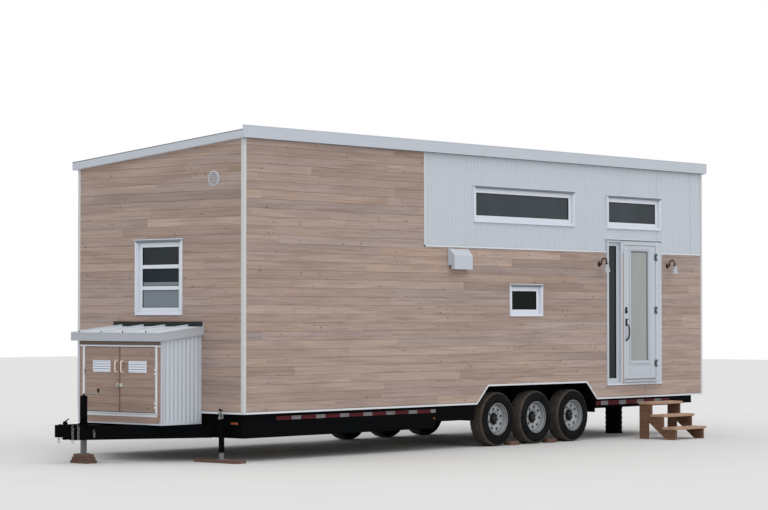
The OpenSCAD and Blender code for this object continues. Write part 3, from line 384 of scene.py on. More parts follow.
def painted(name, color, rough, metal=0.0, dirt=0.15, grime=(0, 0, 0), scale=3.0, bump=0.05, wavy=0.0,
            spec=0.5):
    """Paint or coating with faint patches, specks and a slight texture."""
    color, grime = tone(*color), tone(*grime)
    k = Look(name, color, rough, metal, Specular_IOR_Level=spec)
    where = k.coords()
    patch = k.noise(where, scale, 5.0, 0.6)
    speck = k.noise(where, 60.0, 3.0, 0.7)
    fac = k.calc("MULTIPLY", k.ramp(patch, (0.38, 0.0), (0.78, 1.0)), dirt)
    base = k.mix(fac, color, grime)
    base = k.mix(k.calc("MULTIPLY", k.ramp(speck, (0.6, 0.0), (0.75, 1.0)), dirt * 0.8), base, grime)
    k.out("Base Color", base)
    k.out("Roughness", k.ramp(patch, (0.3, rough - 0.06), (0.75, min(1.0, rough + 0.12))))
    height = speck if not wavy else k.calc("ADD", speck, k.calc("MULTIPLY", k.noise(where, 4.0, 2.0), wavy))
    k.bump(height, bump, 0.001)
    return k.mat


BOARDS = wood("stained_boards", (192, 171, 160), (172, 152, 142), (138, 118, 108), knots=0.8)
STEP_BOARDS = wood("step_boards", (196, 168, 142), (178, 149, 124), (144, 114, 93), rough=0.85)
LEG_BOARDS = wood("leg_boards", (142, 108, 84), (120, 88, 68), (86, 60, 46), rough=0.85)
BLOCK_BOARDS = wood("block_boards", (136, 106, 92), (112, 86, 75), (80, 60, 52), rough=0.9)
WHITE_METAL = painted("ribbed_white_metal", (187, 194, 203), 0.45, dirt=0.1, grime=(178, 184, 190))
ROOF_METAL = painted("roof_white_metal", (212, 218, 225), 0.42, dirt=0.2, grime=(198, 200, 202), wavy=0.6)
WHITE_PAINT = painted("white_trim_paint", (187, 193, 202), 0.5, dirt=0.1, grime=(174, 178, 184))
BOX_PAINT = painted("box_fascia_paint", (170, 174, 181), 0.5, dirt=0.12, grime=(154, 156, 160))
# Grey for the shadow under the heads of the windows and the door: painted shadow
PAINTED_HEAD_SHADOW = painted("painted_shadow_under_heads", (126, 132, 139), 0.6, dirt=0.15, grime=(108, 113, 119))
TRIM_PAINT = painted("corner_trim_paint", (198, 199, 201), 0.5, dirt=0.15, grime=(176, 174, 172))
EDGE_METAL = painted("bright_edge_metal", (214, 217, 221), 0.45, dirt=0.1, grime=(190, 190, 190))
# Grey of the roof's drip edge, used also for painted shade at the door pane's edges and along the rakes
DRIP_EDGE_AND_SHADE_GREY = painted("grey_drip_edge_and_painted_shade", (104, 110, 115), 0.5, dirt=0.3, grime=(80, 84, 88))
VINYL = painted("white_vinyl", (213, 218, 227), 0.4, dirt=0.08, grime=(194, 198, 204))
DOOR_PAINT = painted("door_paint", (183, 190, 199), 0.42, dirt=0.06, grime=(180, 186, 192))
SILL_METAL = painted("sill_metal", (190, 192, 194), 0.45, 0.3, dirt=0.35, grime=(130, 126, 120))
BLACK_STEEL = painted("black_frame_paint", (6, 8, 10), 0.55, dirt=0.5, grime=(16, 15, 14), scale=1.5, bump=0.12,
                      spec=0.02)
BLACK_PLASTIC = painted("black_well_liner", (6, 7, 8), 0.65, dirt=0.6, grime=(16, 15, 14), scale=2.0, bump=0.2,
                        spec=0.02)
RUBBER = painted("tyre_rubber", (19, 19, 21), 0.85, dirt=0.8, grime=(38, 36, 35), scale=7.0, bump=0.3,
                 spec=0.04)
# Brownish dusty tread, lighter also as a painted highlight on the shoulder
DUSTY_AND_LIT_RUBBER = painted("tyre_tread", (82, 75, 69), 0.92, dirt=0.7, grime=(50, 45, 41), scale=9.0, bump=0.4,
                       spec=0.05)
RIM_PAINT = painted("rim_silver", (150, 154, 158), 0.42, 0.1, dirt=0.4, grime=(100, 99, 98), scale=9.0)
HUB_GREY = painted("hub_dark_steel", (34, 34, 36), 0.5, 0.2, dirt=0.4, grime=(26, 25, 24), scale=20.0, spec=0.2)
ZINC = painted("zinc_plate", (150, 152, 153), 0.42, 0.75, dirt=0.5, grime=(96, 92, 88), scale=14.0)
GREY_PAINT = painted("grey_leg_paint", (122, 125, 128), 0.5, 0.1, dirt=0.5, grime=(74, 68, 62), scale=9.0)
# Near black for dark flashing, used also for painted shade under the eave and in the lid's seam ends
DARK_FLASHING_AND_SHADE = painted("dark_flashing_and_painted_shade", (32, 34, 37), 0.55, dirt=0.2, grime=(50, 50, 52), spec=0.2)
BRONZE = painted("dark_bronze", (46, 36, 29), 0.4, 0.6, dirt=0.5, grime=(84, 62, 44), scale=30.0)
HINGE_GREY = painted("hinge_grey", (80, 94, 101), 0.45, dirt=0.3, grime=(74, 78, 80), scale=30.0, spec=0.3)
BRASS_BROWN = painted("small_brown_hinge", (150, 128, 112), 0.5, dirt=0.3, grime=(112, 92, 80), scale=30.0)
PALE_ZINC = painted("pale_zinc", (196, 192, 184), 0.45, dirt=0.3, grime=(150, 146, 138), scale=30.0)
LOUVRE_PAINT = painted("louvre_paint", (216, 222, 232), 0.45, dirt=0.05, grime=(196, 200, 208))
SHADE_GREY = painted("louvre_shadow", (128, 140, 160), 0.7, dirt=0.1, grime=(110, 120, 138))
SEAL_GREY = painted("door_sweep", (148, 153, 158), 0.6, dirt=0.2, grime=(90, 92, 94))
BLACK_IRON = painted("black_hardware", (22, 21, 21), 0.42, 0.2, dirt=0.3, grime=(44, 40, 38), scale=30.0,
                     spec=0.25)
CREAM = painted("cream_handle", (226, 212, 198), 0.4, dirt=0.2, grime=(170, 158, 140), scale=20.0)
LINER = painted("interior_panel", (186, 176, 160), 0.8, dirt=0.3, grime=(150, 136, 116))
GREY_BLIND = painted("roller_blind", (150, 160, 164), 0.8, dirt=0.12, grime=(130, 138, 142))
# Black for glazing gaskets, used also for painted shade inside the vents
GASKET_AND_SHADE_BLACK = painted("black_gasket_and_painted_shade", (22, 23, 25), 0.6, dirt=0.1, grime=(36, 36, 38), spec=0.1)
RED_TAPE = painted("red_reflector", (82, 22, 29), 0.4, dirt=0.5, grime=(50, 20, 24), scale=6.0, spec=0.1)
WHITE_TAPE = painted("white_reflector", (124, 120, 124), 0.4, dirt=0.5, grime=(86, 80, 80), scale=6.0, spec=0.1)
AMBER = painted("amber_lens", (150, 78, 40), 0.3, dirt=0.3, grime=(104, 52, 28), scale=30.0, spec=0.2)


GLASS_IOR = 1.45
BLIND_PLEAT = 0.018
ALL_UPPER = -1.0


def glazing(name, color, rough, through):
    """Slightly smeared glass that lets part of the light through."""
    k = Look(name, tone(*color), rough, 0.0, Transmission_Weight=through, IOR=GLASS_IOR)
    smear = k.noise(k.coords(), 2.4, 3.0, 0.5)
    k.out("Roughness", k.ramp(smear, (0.35, rough), (0.75, rough + 0.05)))
    k.bump(k.noise(k.coords(), 0.8, 1.0), 0.03, 0.002)
    return k.mat


def window_pane(name, through, upper, lower, level):
    """Glass whose tint changes below a height, where a blind hangs close behind it. Above, lighter streaks are
    painted reflections; below, the blind's pleats are striped with painted shade.
    """
    upper, lower = tone(*upper), tone(*lower)
    k = Look(name, upper, 0.04, 0.0, Transmission_Weight=through, IOR=GLASS_IOR, Specular_IOR_Level=0.03)
    height = k.node("SeparateXYZ", Vector=k.coords()).outputs["Z"]
    reflection_streak = k.noise(k.coords((1.6, 1.6, 0.8)), 1.0, 4.0, 0.6)
    above = k.mix(k.ramp(reflection_streak, (0.35, 0.0), (0.7, 1.0)), upper, tuple(c * 1.45 for c in upper[:3]) + (1.0,))
    pleat_shade = k.calc("SINE", k.calc("MULTIPLY", height, 2 * math.pi / BLIND_PLEAT))
    below = k.mix(k.ramp(pleat_shade, (0.0, 0.0), (1.0, 0.18)), lower, tuple(c * 0.8 for c in lower[:3]) + (1.0,))
    k.out("Base Color", k.mix(k.calc("LESS_THAN", height, level), above, below))
    k.bump(k.noise(k.coords(), 0.8, 1.0), 0.03, 0.002)
    return k.mat


# The tints are painted: dark glass for the shaded room behind, lighter glass high up as a painted reflection,
# and the darkest glass at the small light as deeper painted shade
DARK_GLASS = window_pane("window_glass", 0.3, (42, 50, 54), (42, 50, 54), ALL_UPPER)
BLIND_GLASS = window_pane("glass_before_blind", 0.08, (38, 46, 50), (128, 139, 145), 2.26)
SKY_GLASS = window_pane("glass_under_the_eaves", 0.3, (62, 70, 75), (62, 70, 75), ALL_UPPER)
DEEP_GLASS = window_pane("glass_of_the_small_light", 0.08, (17, 20, 21), (17, 20, 21), ALL_UPPER)
CLEAR_GLASS = glazing("clear_glass", (222, 226, 230), 0.08, 0.6)


def dress(material, *nodes):
    for name in nodes:
        mesh = NODES[name].data
        mesh.materials.clear()
        mesh.materials.append(material)
        mesh.polygons.foreach_set("material_index", [0] * len(mesh.polygons))


dress(LINER, "floor_deck", "front_wall", "rear_wall", "far_wall", "door_wall_front", "door_wall_over",
      "door_wall_rear", "door_wall_sill")
dress(WHITE_METAL, "box_walls")
dress(ROOF_METAL, "roof_deck", "box_roof")
dress(DRIP_EDGE_AND_SHADE_GREY, "roof_metal")
dress(WHITE_PAINT, "eave_boards", "rake_boards", "door_frame")
dress(TRIM_PAINT, "corner_trims")
dress(EDGE_METAL, "base_trim", "box_frame")
dress(DOOR_PAINT, "entry_door")
dress(BLACK_STEEL, "chassis_rails", "cross_members", "axles", "tongue_frame", "coupler", "tongue_jack",
      "stabiliser_jack")
dress(BLACK_PLASTIC, "fenders", "rear_supports")
dress(GREY_PAINT, "jack_leg", "stabiliser_leg")
dress(DARK_GLASS, "window_glass")
panes = NODES["window_glass"].data
for material in (BLIND_GLASS, SKY_GLASS, DEEP_GLASS):
    panes.materials.append(material)
for face in panes.polygons:
    spot = face.center - corner
    if spot.x < 0.2 and face.center.z < 2.46:
        face.material_index = 1
    elif face.center.z > 3.0:
        face.material_index = 2
    elif 5.3 < spot.x < 6.1 and spot.y < 0.3:
        face.material_index = 3
dress(HINGE_GREY, "door_hinges")

# ---------------------------------------------------------------- wall boards

ROW = 111
FIRST_ROW = 630
BOARD_T = 12
GROOVE = 1.1
GROW = 24

# Windows: wall, left edge, lower edge, width, height, cross bars. LONG is such a left edge, lower edge, width
# and height, and LIGHTS, for the windows with three lights, is a lower edge, width and height.
LONG = (4515, 3127, 2335, 511)
LIGHTS = (1835, 872, 972)
FRONT_LIGHT_Y = 1076
WINDOWS = {
    "front_window": [(1, HOUSE_W - FRONT_LIGHT_Y - LIGHTS[1], *LIGHTS, 2)],
    "side_windows": [(0, *LONG, 0), (0, 7653, 3124, 1397, 496, 0), (0, 5320, 1818, 760, 458, 0)],
    "far_windows": [
        (2, HOUSE_L - LONG[0] - LONG[2], 3137, LONG[2], LONG[3], 0),
        (2, HOUSE_L - 1500 - LIGHTS[1], *LIGHTS, 2),
        (2, HOUSE_L - 8200 - LIGHTS[1], *LIGHTS, 2),
        (3, (HOUSE_W - LIGHTS[1]) / 2, *LIGHTS, 2)],
}
UNIT = (7643, 800, 1407, 2167)
GAP = (8031, 8061)


def openings(side):
    cuts = [(x, x + w, z, z + h) for group in WINDOWS.values() for s, x, z, w, h, _ in group if s == side]
    if side == 0:
        cuts.append((UNIT[0], GAP[0], UNIT[1], UNIT[1] + UNIT[3]))
        cuts.append((GAP[1], UNIT[0] + UNIT[2], UNIT[1], UNIT[1] + UNIT[3]))
    return cuts


def metal_area(side):
    """From where to where the ribbed metal runs along a wall; the front wall has none."""
    areas = {0: (PANEL_X, HOUSE_L - TRIM_W), 2: (TRIM_W, HOUSE_L - PANEL_X), 3: (TRIM_W, HOUSE_W - TRIM_W)}
    return areas.get(side)


def free_heights(low, high, cuts, x):
    """What is left of a strip's height at x after the cuts."""
    spans = [(low, high)]
    for x0, x1, z0, z1 in cuts:
        if x0 < x < x1:
            spans = [s for a, b in spans for s in ((a, min(b, z0)), (max(a, z1), b)) if s[1] - s[0] > 1]
    return spans


def board(shape, x0, x1, z0, z1, end0=0.0, end1=0.0, lean0=0.0, lean1=0.0, groove_low=True, groove_top=True):
    """One board: end0 and end1 shorten it, lean0 and lean1 shift its upper corners along the wall."""
    lo = z0 + (GROOVE if groove_low else 0)
    hi = z1 - (GROOVE if groove_top else 0)
    bevel = 1.4
    section = [(0, lo), (-BOARD_T + bevel, lo), (-BOARD_T, lo + bevel), (-BOARD_T, hi - bevel),
               (-BOARD_T + bevel, hi), (0, hi)]
    verts = []
    for x, shift, lean in ((x0, end0, lean0), (x1, -end1, lean1)):
        for y, z in section:
            verts.append((x + shift + lean * (z - z0) / (z1 - z0), y, z))
    faces = [[0, 1, 2, 3, 4, 5], [11, 10, 9, 8, 7, 6]]
    faces += [[i, (i + 1) % 6, 6 + (i + 1) % 6, 6 + i] for i in range(6)]
    shape.add(verts, faces)
    if groove_top:
        a, b = x0 + end0, x1 - end1
        verts = [(x, y, z) for y in (-4, 0) for x, z in ((a, hi - 1), (b, hi - 1), (b, z1 + 3), (a, z1 + 3))]
        sides = [[i, (i + 1) % 4, 4 + (i + 1) % 4, 4 + i] for i in range(4)]
        shape.add(verts, [[0, 1, 2, 3], [7, 6, 5, 4]] + sides)


def well_edges(side, z):
    """Where the wheel well's trim begins and ends at a height, along a side wall."""
    share = min(1.0, max(0.0, (z - BASE_Z) / (WELL_TOP + GROW - BASE_Z)))
    left = WELL_X - GROW + share * (WELL_SLOPE + 0.6 * GROW)
    right = WELL_REAR + GROW - share * (WELL_SLOPE + 0.6 * GROW)
    return (left, right) if side == 0 else (HOUSE_L - right, HOUSE_L - left)


def clad(side, seed):
    rng = random.Random(seed)
    shape = Shape("wall_boards_%d" % side)
    shape.place = wall(side)
    cuts = openings(side)
    area = metal_area(side)
    if area:
        cuts.append((area[0] - 5, area[1] + 5, PANEL_Z, 9000))
    left, right = TRIM_W + 1, WALL_LEN[side] - TRIM_W - 1
    top = SOFFIT_LOW if side == 2 else SOFFIT_HIGH
    rows = int((top - FIRST_ROW) / ROW) + 1
    for row in range(rows):
        z0, z1 = FIRST_ROW + row * ROW, min(FIRST_ROW + (row + 1) * ROW, top)
        x = left - rng.uniform(0, 2600)
        while x < right:
            x_end = x + rng.uniform(1700, 3700)
            a, b = max(x, left), min(x_end, right)
            light = rng.gauss(1.0, 0.06) - (0.12 if rng.random() < 0.12 else 0.0)
            warm = rng.gauss(0.0, 0.022)
            shape.tint = (light * (1 + warm), light, light * (1 - 1.3 * warm))
            shape.grain = (0, 2, 1, rng.uniform(0, 90))
            if b - a > 15:
                marks = {c for cut in cuts for c in cut[:2] if a < c < b and cut[2] < z1 and cut[3] > z0}
                marks = sorted({a, b} | marks)
                for p, q in zip(marks, marks[1:]):
                    put_board(shape, side, p, q, z0, z1, cuts, p == x, q == x_end)
            x = x_end
    # The boards of the front and the rear are cut along the roof's slope
    under_roof = ((0, 0, SOFFIT_HIGH - 0.5), Vector((0, SLOPE, 1)).normalized())
    shape.make([BOARDS], slot="stained_boards", trim=under_roof if side in (1, 3) else None)


def put_board(shape, side, p, q, z0, z1, cuts, joint0, joint1):
    for low, high in free_heights(z0, z1, cuts, (p + q) / 2):
        end0, end1 = (0.7 if joint0 else 0.0), (0.7 if joint1 else 0.0)
        groove = dict(groove_low=low == z0, groove_top=high == z1)
        if side in (0, 2) and low < WELL_TOP + GROW - 30:
            la, ra = well_edges(side, low)
            lb, rb = well_edges(side, high)
            if p < la:
                stop = min(q, la)
                board(shape, p, stop, low, high, end0, 0, 0, (lb - la) if q > la else 0, **groove)
            if q > ra:
                start = max(p, ra)
                board(shape, start, q, low, high, 0, end1, (rb - ra) if p < ra else 0, 0, **groove)
        elif side in (0, 2) and low < WELL_TOP + GROW:
            la, ra = well_edges(side, WELL_TOP + GROW)
            for a, b, bottom in ((p, min(q, la), low), (max(p, la), min(q, ra), WELL_TOP + GROW),
                                 (max(p, ra), q, low)):
                if b - a > 1:
                    board(shape, a, b, bottom, high, end0 if a == p else 0, end1 if b == q else 0, **groove)
        else:
            board(shape, p, q, low, high, end0, end1, **groove)


for side, seed in ((0, 11), (1, 23), (2, 37), (3, 41)):
    clad(side, seed)

# ---------------------------------------------------------------- ribbed metal

PITCH = 70
RIB = 11
SHEET_W = 914


def ribbed(shape, x0, x1, low, top, cuts=(), pitch=PITCH, depth=RIB, stand=1.5):
    """A thin ribbed sheet in the plane of a wall. top gives its upper edge at x."""
    steps = 10
    count = max(2, int(round((x1 - x0) / (pitch / steps))))
    xs = [x0 + (x1 - x0) * i / count for i in range(count + 1)]

    def out(x):
        s = math.cos(2 * math.pi * (x - x0) / pitch)
        return -(stand + depth * (0.5 + 0.5 * math.copysign(abs(s) ** 0.75, s)))

    runs = []
    for i in range(count):
        spans = free_heights(low, 99999, cuts, (xs[i] + xs[i + 1]) / 2)
        for a, b in spans:
            for run in runs:
                if run[0] == (a, b) and run[2] == i:
                    run[2] = i + 1
                    break
            else:
                runs.append([(a, b), i, i + 1])
    for (a, b), first, last in runs:
        verts, n = [], last - first + 1
        for back in (0.0, 1.2):
            for i in range(first, last + 1):
                z_top = min(b, top(xs[i]))
                verts += [(xs[i], out(xs[i]) + back, a), (xs[i], out(xs[i]) + back, z_top)]
        faces = []
        for i in range(n - 1):
            f, k = 2 * i, 2 * n + 2 * i
            faces += [[f, f + 2, f + 3, f + 1], [k, k + 1, k + 3, k + 2],
                      [f, k, k + 2, f + 2], [f + 1, f + 3, k + 3, k + 1]]
        e, m = 2 * (n - 1), 2 * n
        faces += [[0, 1, m + 1, m], [e, m + e, m + e + 1, e + 1]]
        shape.add(verts, faces, smooth=True)


def metal_wall(side):
    shape = Shape("metal_cladding_%d" % side)
    shape.place = wall(side)
    x0, x1 = metal_area(side)
    cuts = openings(side)
    top = {0: lambda x: SOFFIT_HIGH - 1, 2: lambda x: SOFFIT_LOW - 1, 3: lambda x: soffit(x) - 1}[side]
    ribbed(shape, x0 + 8, x1 - 3, PANEL_Z + 8, top, cuts)
    x = x0 + SHEET_W
    while x < x1 - 100:
        for low, high in free_heights(PANEL_Z + 10, top(x), cuts, x):
            shape.box((x - 3, -RIB - 3.4, low), (x + 3, -RIB + 2, high), 1.5)
        x += SHEET_W
    shape.slot = 1
    # Edge trim: an L along the lower edge and up the free ends
    runs = [(x0 - 4, x1)] if side else [(x0 - 4, UNIT[0]), GAP, (UNIT[0] + UNIT[2], x1)]
    for a, b in runs:
        shape.box((a, -15.5, PANEL_Z - 4), (b, -1, PANEL_Z + 3), 1.5)
        shape.box((a, -15.5, PANEL_Z - 4), (b, -13.5, PANEL_Z + 22), 1.0)
    if side == 0:
        shape.box((x0 - 4, -15.5, PANEL_Z - 4), (x0 + 2, -1, top(x0)), 1.5)
        shape.box((x0 - 4, -15.5, PANEL_Z - 4), (x0 + 22, -13.5, top(x0)), 1.0)
    if side == 2:
        shape.box((x1 - 2, -15.5, PANEL_Z - 4), (x1 + 4, -1, top(x1)), 1.5)
        shape.box((x1 - 22, -15.5, PANEL_Z - 4), (x1 + 4, -13.5, top(x1)), 1.0)
    shape.make([WHITE_METAL, EDGE_METAL], slot="white_metal", replaces=("metal_panels",) if side == 0 else ())


for side in (0, 2, 3):
    metal_wall(side)


def slope_strip(shape, y0, y1, low, high, x0, x1):
    """A strip along the roof's slope from y0 to y1, between two heights above the soffit."""
    shape.prism([(y0, soffit(y0) + low), (y1, soffit(y1) + low), (y1, soffit(y1) + high),
                 (y0, soffit(y0) + high)], x0, x1, 0)


# The roof sheet: standing seams with a folded head, the sheet's face and its lap at the far eave
shape = Shape("roof_seams")
ROOF_TOP = 106
SEAM_PITCH = 406
y0, y1 = -44, HOUSE_W + ROOF_OVER - 1
x = 130
while x < HOUSE_L + ROOF_OVER - 60:
    slope_strip(shape, y0, y1, ROOF_TOP - 1, ROOF_TOP + 22, x, x + 5)
    slope_strip(shape, y0, y1, ROOF_TOP + 20, ROOF_TOP + 25, x - 3, x + 8)
    x += SEAM_PITCH
slope_strip(shape, y0, y1, ROOF_TOP - 1, ROOF_TOP + 0.6, -ROOF_OVER + 2, HOUSE_L + ROOF_OVER - 2)
slope_strip(shape, y1 - 90, y1, ROOF_TOP, ROOF_TOP + 2, -ROOF_OVER, HOUSE_L + ROOF_OVER)
shape.make([ROOF_METAL], slot="white_metal")

# ---------------------------------------------------------------- windows

CASING_OUT, CASING_W = 30, 22
SASH_IN, SASH_T, SASH_EDGE, SASH_W = 15, 40, 38, 60
LIGHT_EDGE = SASH_EDGE + SASH_W
BAR = 50


def frame_of(shape, x, z, w, h, border, y0, y1, bevel=2.0):
    """Four boards round an opening; the posts stand between the rails."""
    shape.box((x, y0, z), (x + w, y1, z + border), bevel)
    shape.box((x, y0, z + h - border), (x + w, y1, z + h), bevel)
    shape.box((x, y0, z + border), (x + border, y1, z + h - border), bevel)
    shape.box((x + w - border, y0, z + border), (x + w, y1, z + h - border), bevel)


def inset(rect, by):
    """A rectangle (x, z, width, height) drawn in on all four sides."""
    x, z, w, h = rect
    return x + by, z + by, w - 2 * by, h - 2 * by


def window(shape, x, z, w, h, bars):
    rect = (x, z, w, h)
    frame_of(shape, *rect, CASING_W, -CASING_OUT, -1)
    frame_of(shape, *inset(rect, 20), CASING_W, -CASING_OUT + 14, 2, 1.5)
    frame_of(shape, *inset(rect, 26), 14, 0, WALL_T, 1.0)
    frame_of(shape, *inset(rect, SASH_EDGE), SASH_W, SASH_IN, SASH_IN + SASH_T, 3.0)
    light = (h - 2 * LIGHT_EDGE - bars * BAR) / (bars + 1)
    for i in range(bars + 1):
        low = z + LIGHT_EDGE + i * (light + BAR)
        shape.slot = 1
        frame_of(shape, x + LIGHT_EDGE - 2, low - 2, w - 2 * LIGHT_EDGE + 4, light + 4, 6, SASH_IN + 6,
                 SASH_IN + 17, 1.0)
        shape.slot = 0
        if i < bars:
            shape.box((x + LIGHT_EDGE - 1, SASH_IN - 2, low + light),
                      (x + w - LIGHT_EDGE + 1, SASH_IN + SASH_T, low + light + BAR), 3.0)
    # Head flashing, with painted shadow lines under it: grey strips on the casing and the sash
    top = z + h
    shape.box((x - 12, -CASING_OUT - 10, top - 5), (x + w + 12, -1, top + 5), 1.5)
    # Painted shadow: grey strips just under the head flashing
    shape.slot = 2
    shape.box((x + 2, -CASING_OUT - 1.2, top - 24), (x + w - 2, -CASING_OUT + 3, top - 5), 0.8)
    shape.box((x + 22, -CASING_OUT + 12.8, top - 41), (x + w - 22, -CASING_OUT + 20, top - 21), 0.8)
    shape.slot = 0
    # Sloping sill nosing
    nose = -CASING_OUT - 4
    shape.prism([(nose, z + 4), (nose, z + 12), (-2, z + 24), (-2, z + 4)], x + 2, x + w - 2, 0)


for name, group in WINDOWS.items():
    shape = Shape(name + "_joinery")
    for side, x, z, w, h, bars in group:
        shape.place = wall(side)
        window(shape, x, z, w, h, bars)
    shape.make([VINYL, GASKET_AND_SHADE_BLACK, PAINTED_HEAD_SHADOW], slot="white_paint", replaces=(name,))

# A roller blind behind the front window's lower lights, with its rail and folds
shape = Shape("front_window_blind")
shape.place = wall(1)
bx0, bx1 = HOUSE_W - FRONT_LIGHT_Y - LIGHTS[1] + 60, HOUSE_W - FRONT_LIGHT_Y - 60
z_low, z_high, step = 1880, 2246, 18
fold = [(68 + (4 if i % 2 else 0), z_low + i * step) for i in range(int((z_high - z_low) / step) + 1)]
back = [(y + 1.5, z) for y, z in reversed(fold)]
shape.prism(fold + back, bx0, bx1, 0)
shape.box((bx0, 64, z_high - 2), (bx1, 80, z_high + 14), 3)
shape.make([GREY_BLIND], slot="glazing")

# ---------------------------------------------------------------- entry door

LEAF_X, LEAF_W, LEAF_Z, LEAF_H, LEAF_FACE = 8082, 813, 874, 2008, -24
PANE_X, PANE_W, PANE_Z, PANE_H = 8236, 475, 1144, 1670
HINGE = (8898, -37.3)
HINGE_ZS = (1110, 1912.5, 2715)

# The unit's frame, side light and threshold, and the gap between them with boards below and strips above
shape = Shape("door_unit_details")
ux, uz, uw, uh = UNIT
post = LEAF_X + LEAF_W + 11
shape.box((ux - 14, -42, uz + uh - 4), (ux + uw + 12, -1, uz + uh + 6), 1.5)
shape.box((ux - 6, -40, uz - 3), (ux + uw + 6, -1, uz + 9), 2)
frame_of(shape, ux + 22, uz + 22, 344, uh - 44, 3, -32.5, -29, 1.0)
shape.box((post, -33, uz + 12), (post + 7, -29, uz + uh - 8), 1.5)
shape.slot = 1
frame_of(shape, ux + 94, uz + 94, 200, uh - 188, 7, SASH_IN + 4, SASH_IN + 17, 1.0)
shape.slot = 3
shape.grain = (2, 0, 1, 3.3)
shape.box((GAP[0] + 1, -25, 810), (GAP[1] - 1, -2, PANEL_Z - 6), 1.0)
shape.slot = 0
for i in range(3):
    shape.box((GAP[0] + 1 + 9.5 * i, -26, PANEL_Z + 4), (GAP[0] + 8 + 9.5 * i, -2, 2960), 1.5)
shape.slot = 2
shape.prism([(-29, 846), (-58, 842), (-58, 849), (-29, 867)], LEAF_X - 12, post - 1, 0)
# Painted shadow: a grey strip under the unit's head cap
shape.slot = 4
shape.box((ux + 4, -31.4, uz + uh - 24), (ux + uw - 4, -28, uz + uh - 5), 0.8)
shape.make([VINYL, GASKET_AND_SHADE_BLACK, SILL_METAL, BOARDS, PAINTED_HEAD_SHADOW], slot="white_paint")

shape = Shape("door_mouldings")
frame_of(shape, PANE_X - 24, PANE_Z - 24, PANE_W + 48, PANE_H + 48, 9, LEAF_FACE - 9, LEAF_FACE - 4, 2.0)
frame_of(shape, PANE_X - 1, PANE_Z - 1, PANE_W + 2, PANE_H + 2, 14, LEAF_FACE - 3, LEAF_FACE + 12, 3.0)
shape.box((PANE_X - 44, LEAF_FACE - 12, PANE_Z - 34), (PANE_X + PANE_W + 44, LEAF_FACE - 2, PANE_Z - 20), 3.0)
frame_of(shape, LEAF_X + 130, LEAF_Z + 70, PANE_W + 78, 150, 12, LEAF_FACE - 3, LEAF_FACE + 1, 1.5)
shape.slot = 1
shape.box((LEAF_X + 2, LEAF_FACE - 4, LEAF_Z + 1), (LEAF_X + LEAF_W - 2, LEAF_FACE + 4, LEAF_Z + 16), 1.5)
# Painted shadow: grey strips along the pane's right side and top, the shade of the recess at its edges
shape.slot = 2
right, top = PANE_X + PANE_W, PANE_Z + PANE_H
shape.box((right - 40, -13.5, PANE_Z + 12), (right - 12, -11, top - 12), 0.5)
shape.box((PANE_X + 12, -13.5, top - 34), (right - 40, -11, top - 12), 0.5)
shape.make([DOOR_PAINT, SEAL_GREY, DRIP_EDGE_AND_SHADE_GREY], body="entry_door", slot="white_paint")

# Hardware: a lock over a pull with a thumb latch, on the leaf's free side
LOCK_Z, LATCH_Z, FOOT_Z, KNOB_Z = 1910, 1730, 1466, 1760
hx = LEAF_X + 48
face = LEAF_FACE
shape = Shape("door_hardware")


def rounded(cx, cz, half_w, half_h):
    """The outline of an upright plate with round ends."""
    turns = [math.pi * i / 16 for i in range(33)]
    rise = half_h - half_w
    return [(cx + half_w * math.cos(a), cz + half_w * math.sin(a) + (rise if a <= math.pi else -rise))
            for a in turns]


shape.prism(rounded(hx, LOCK_Z, 31, 50), face - 4, face, 1)
shape.prism(rounded(hx, LOCK_Z, 27, 45), face - 9, face - 3.5, 1)
shape.lathe([(0, 8), (19, 8), (19, 15), (16, 18), (0, 18)], (hx, face, LOCK_Z + 12), (0, -1, 0), 32)
shape.lathe([(0, 8), (13, 8), (12, 12), (0, 12)], (hx, face, LOCK_Z - 26), (0, -1, 0), 28)
shape.slot = 2
shape.lathe([(0, 17), (11, 17), (11, 19.5), (0, 19.5)], (hx, face, LOCK_Z + 12), (0, -1, 0), 24)
shape.slot = 0
shape.box((hx - 1.5, face - 20.5, LOCK_Z + 5), (hx + 1.5, face - 19, LOCK_Z + 19), 0.5)
shape.prism(rounded(hx, LATCH_Z, 22, 55), face - 5, face, 1)
shape.prism(rounded(hx, LATCH_Z, 18, 50), face - 9, face - 4.5, 1)
shape.lathe([(0, 0), (18, 0), (18, 4), (14, 9), (0, 9)], (hx, face, FOOT_Z), (0, -1, 0), 32)
pull = [(hx, face - 6, 1700), (hx, face - 26, 1694), (hx, face - 46, 1672), (hx, face - 56, 1636),
        (hx, face - 59, 1596), (hx, face - 57, 1552), (hx, face - 48, 1512), (hx, face - 34, 1486),
        (hx, face - 20, FOOT_Z + 6), (hx, face - 5, FOOT_Z)]
# A smooth curve through those points
fine = []
for i in range(len(pull) - 1):
    p0, p1, p2, p3 = (Vector(pull[max(0, min(len(pull) - 1, i + k))]) for k in (-1, 0, 1, 2))
    for n in range(5):
        t = n / 5
        fine.append(0.5 * (2 * p1 + (p2 - p0) * t + (2 * p0 - 5 * p1 + 4 * p2 - p3) * t ** 2
                           + (3 * p1 - p0 - 3 * p2 + p3) * t ** 3))
fine.append(Vector(pull[-1]))
shape.tube(fine, [8 + 4 * math.sin(math.pi * i / (len(fine) - 1)) for i in range(len(fine))], 16, flat=0.8)
shape.tube([(hx, face - 6, 1775), (hx, face - 24, 1779), (hx, face - 40, 1776)], [5, 6, 11], 14, flat=0.45)
shape.lathe([(0, 0), (34, 0), (34, 4), (30, 8), (0, 8)], (hx, 21, KNOB_Z), (0, 1, 0), 32)
shape.lathe([(12, 6), (12, 44), (24, 52), (28, 62), (27, 72), (20, 78), (0, 78)], (hx, 21, KNOB_Z),
            (0, 1, 0), 32)
shape.slot = 1
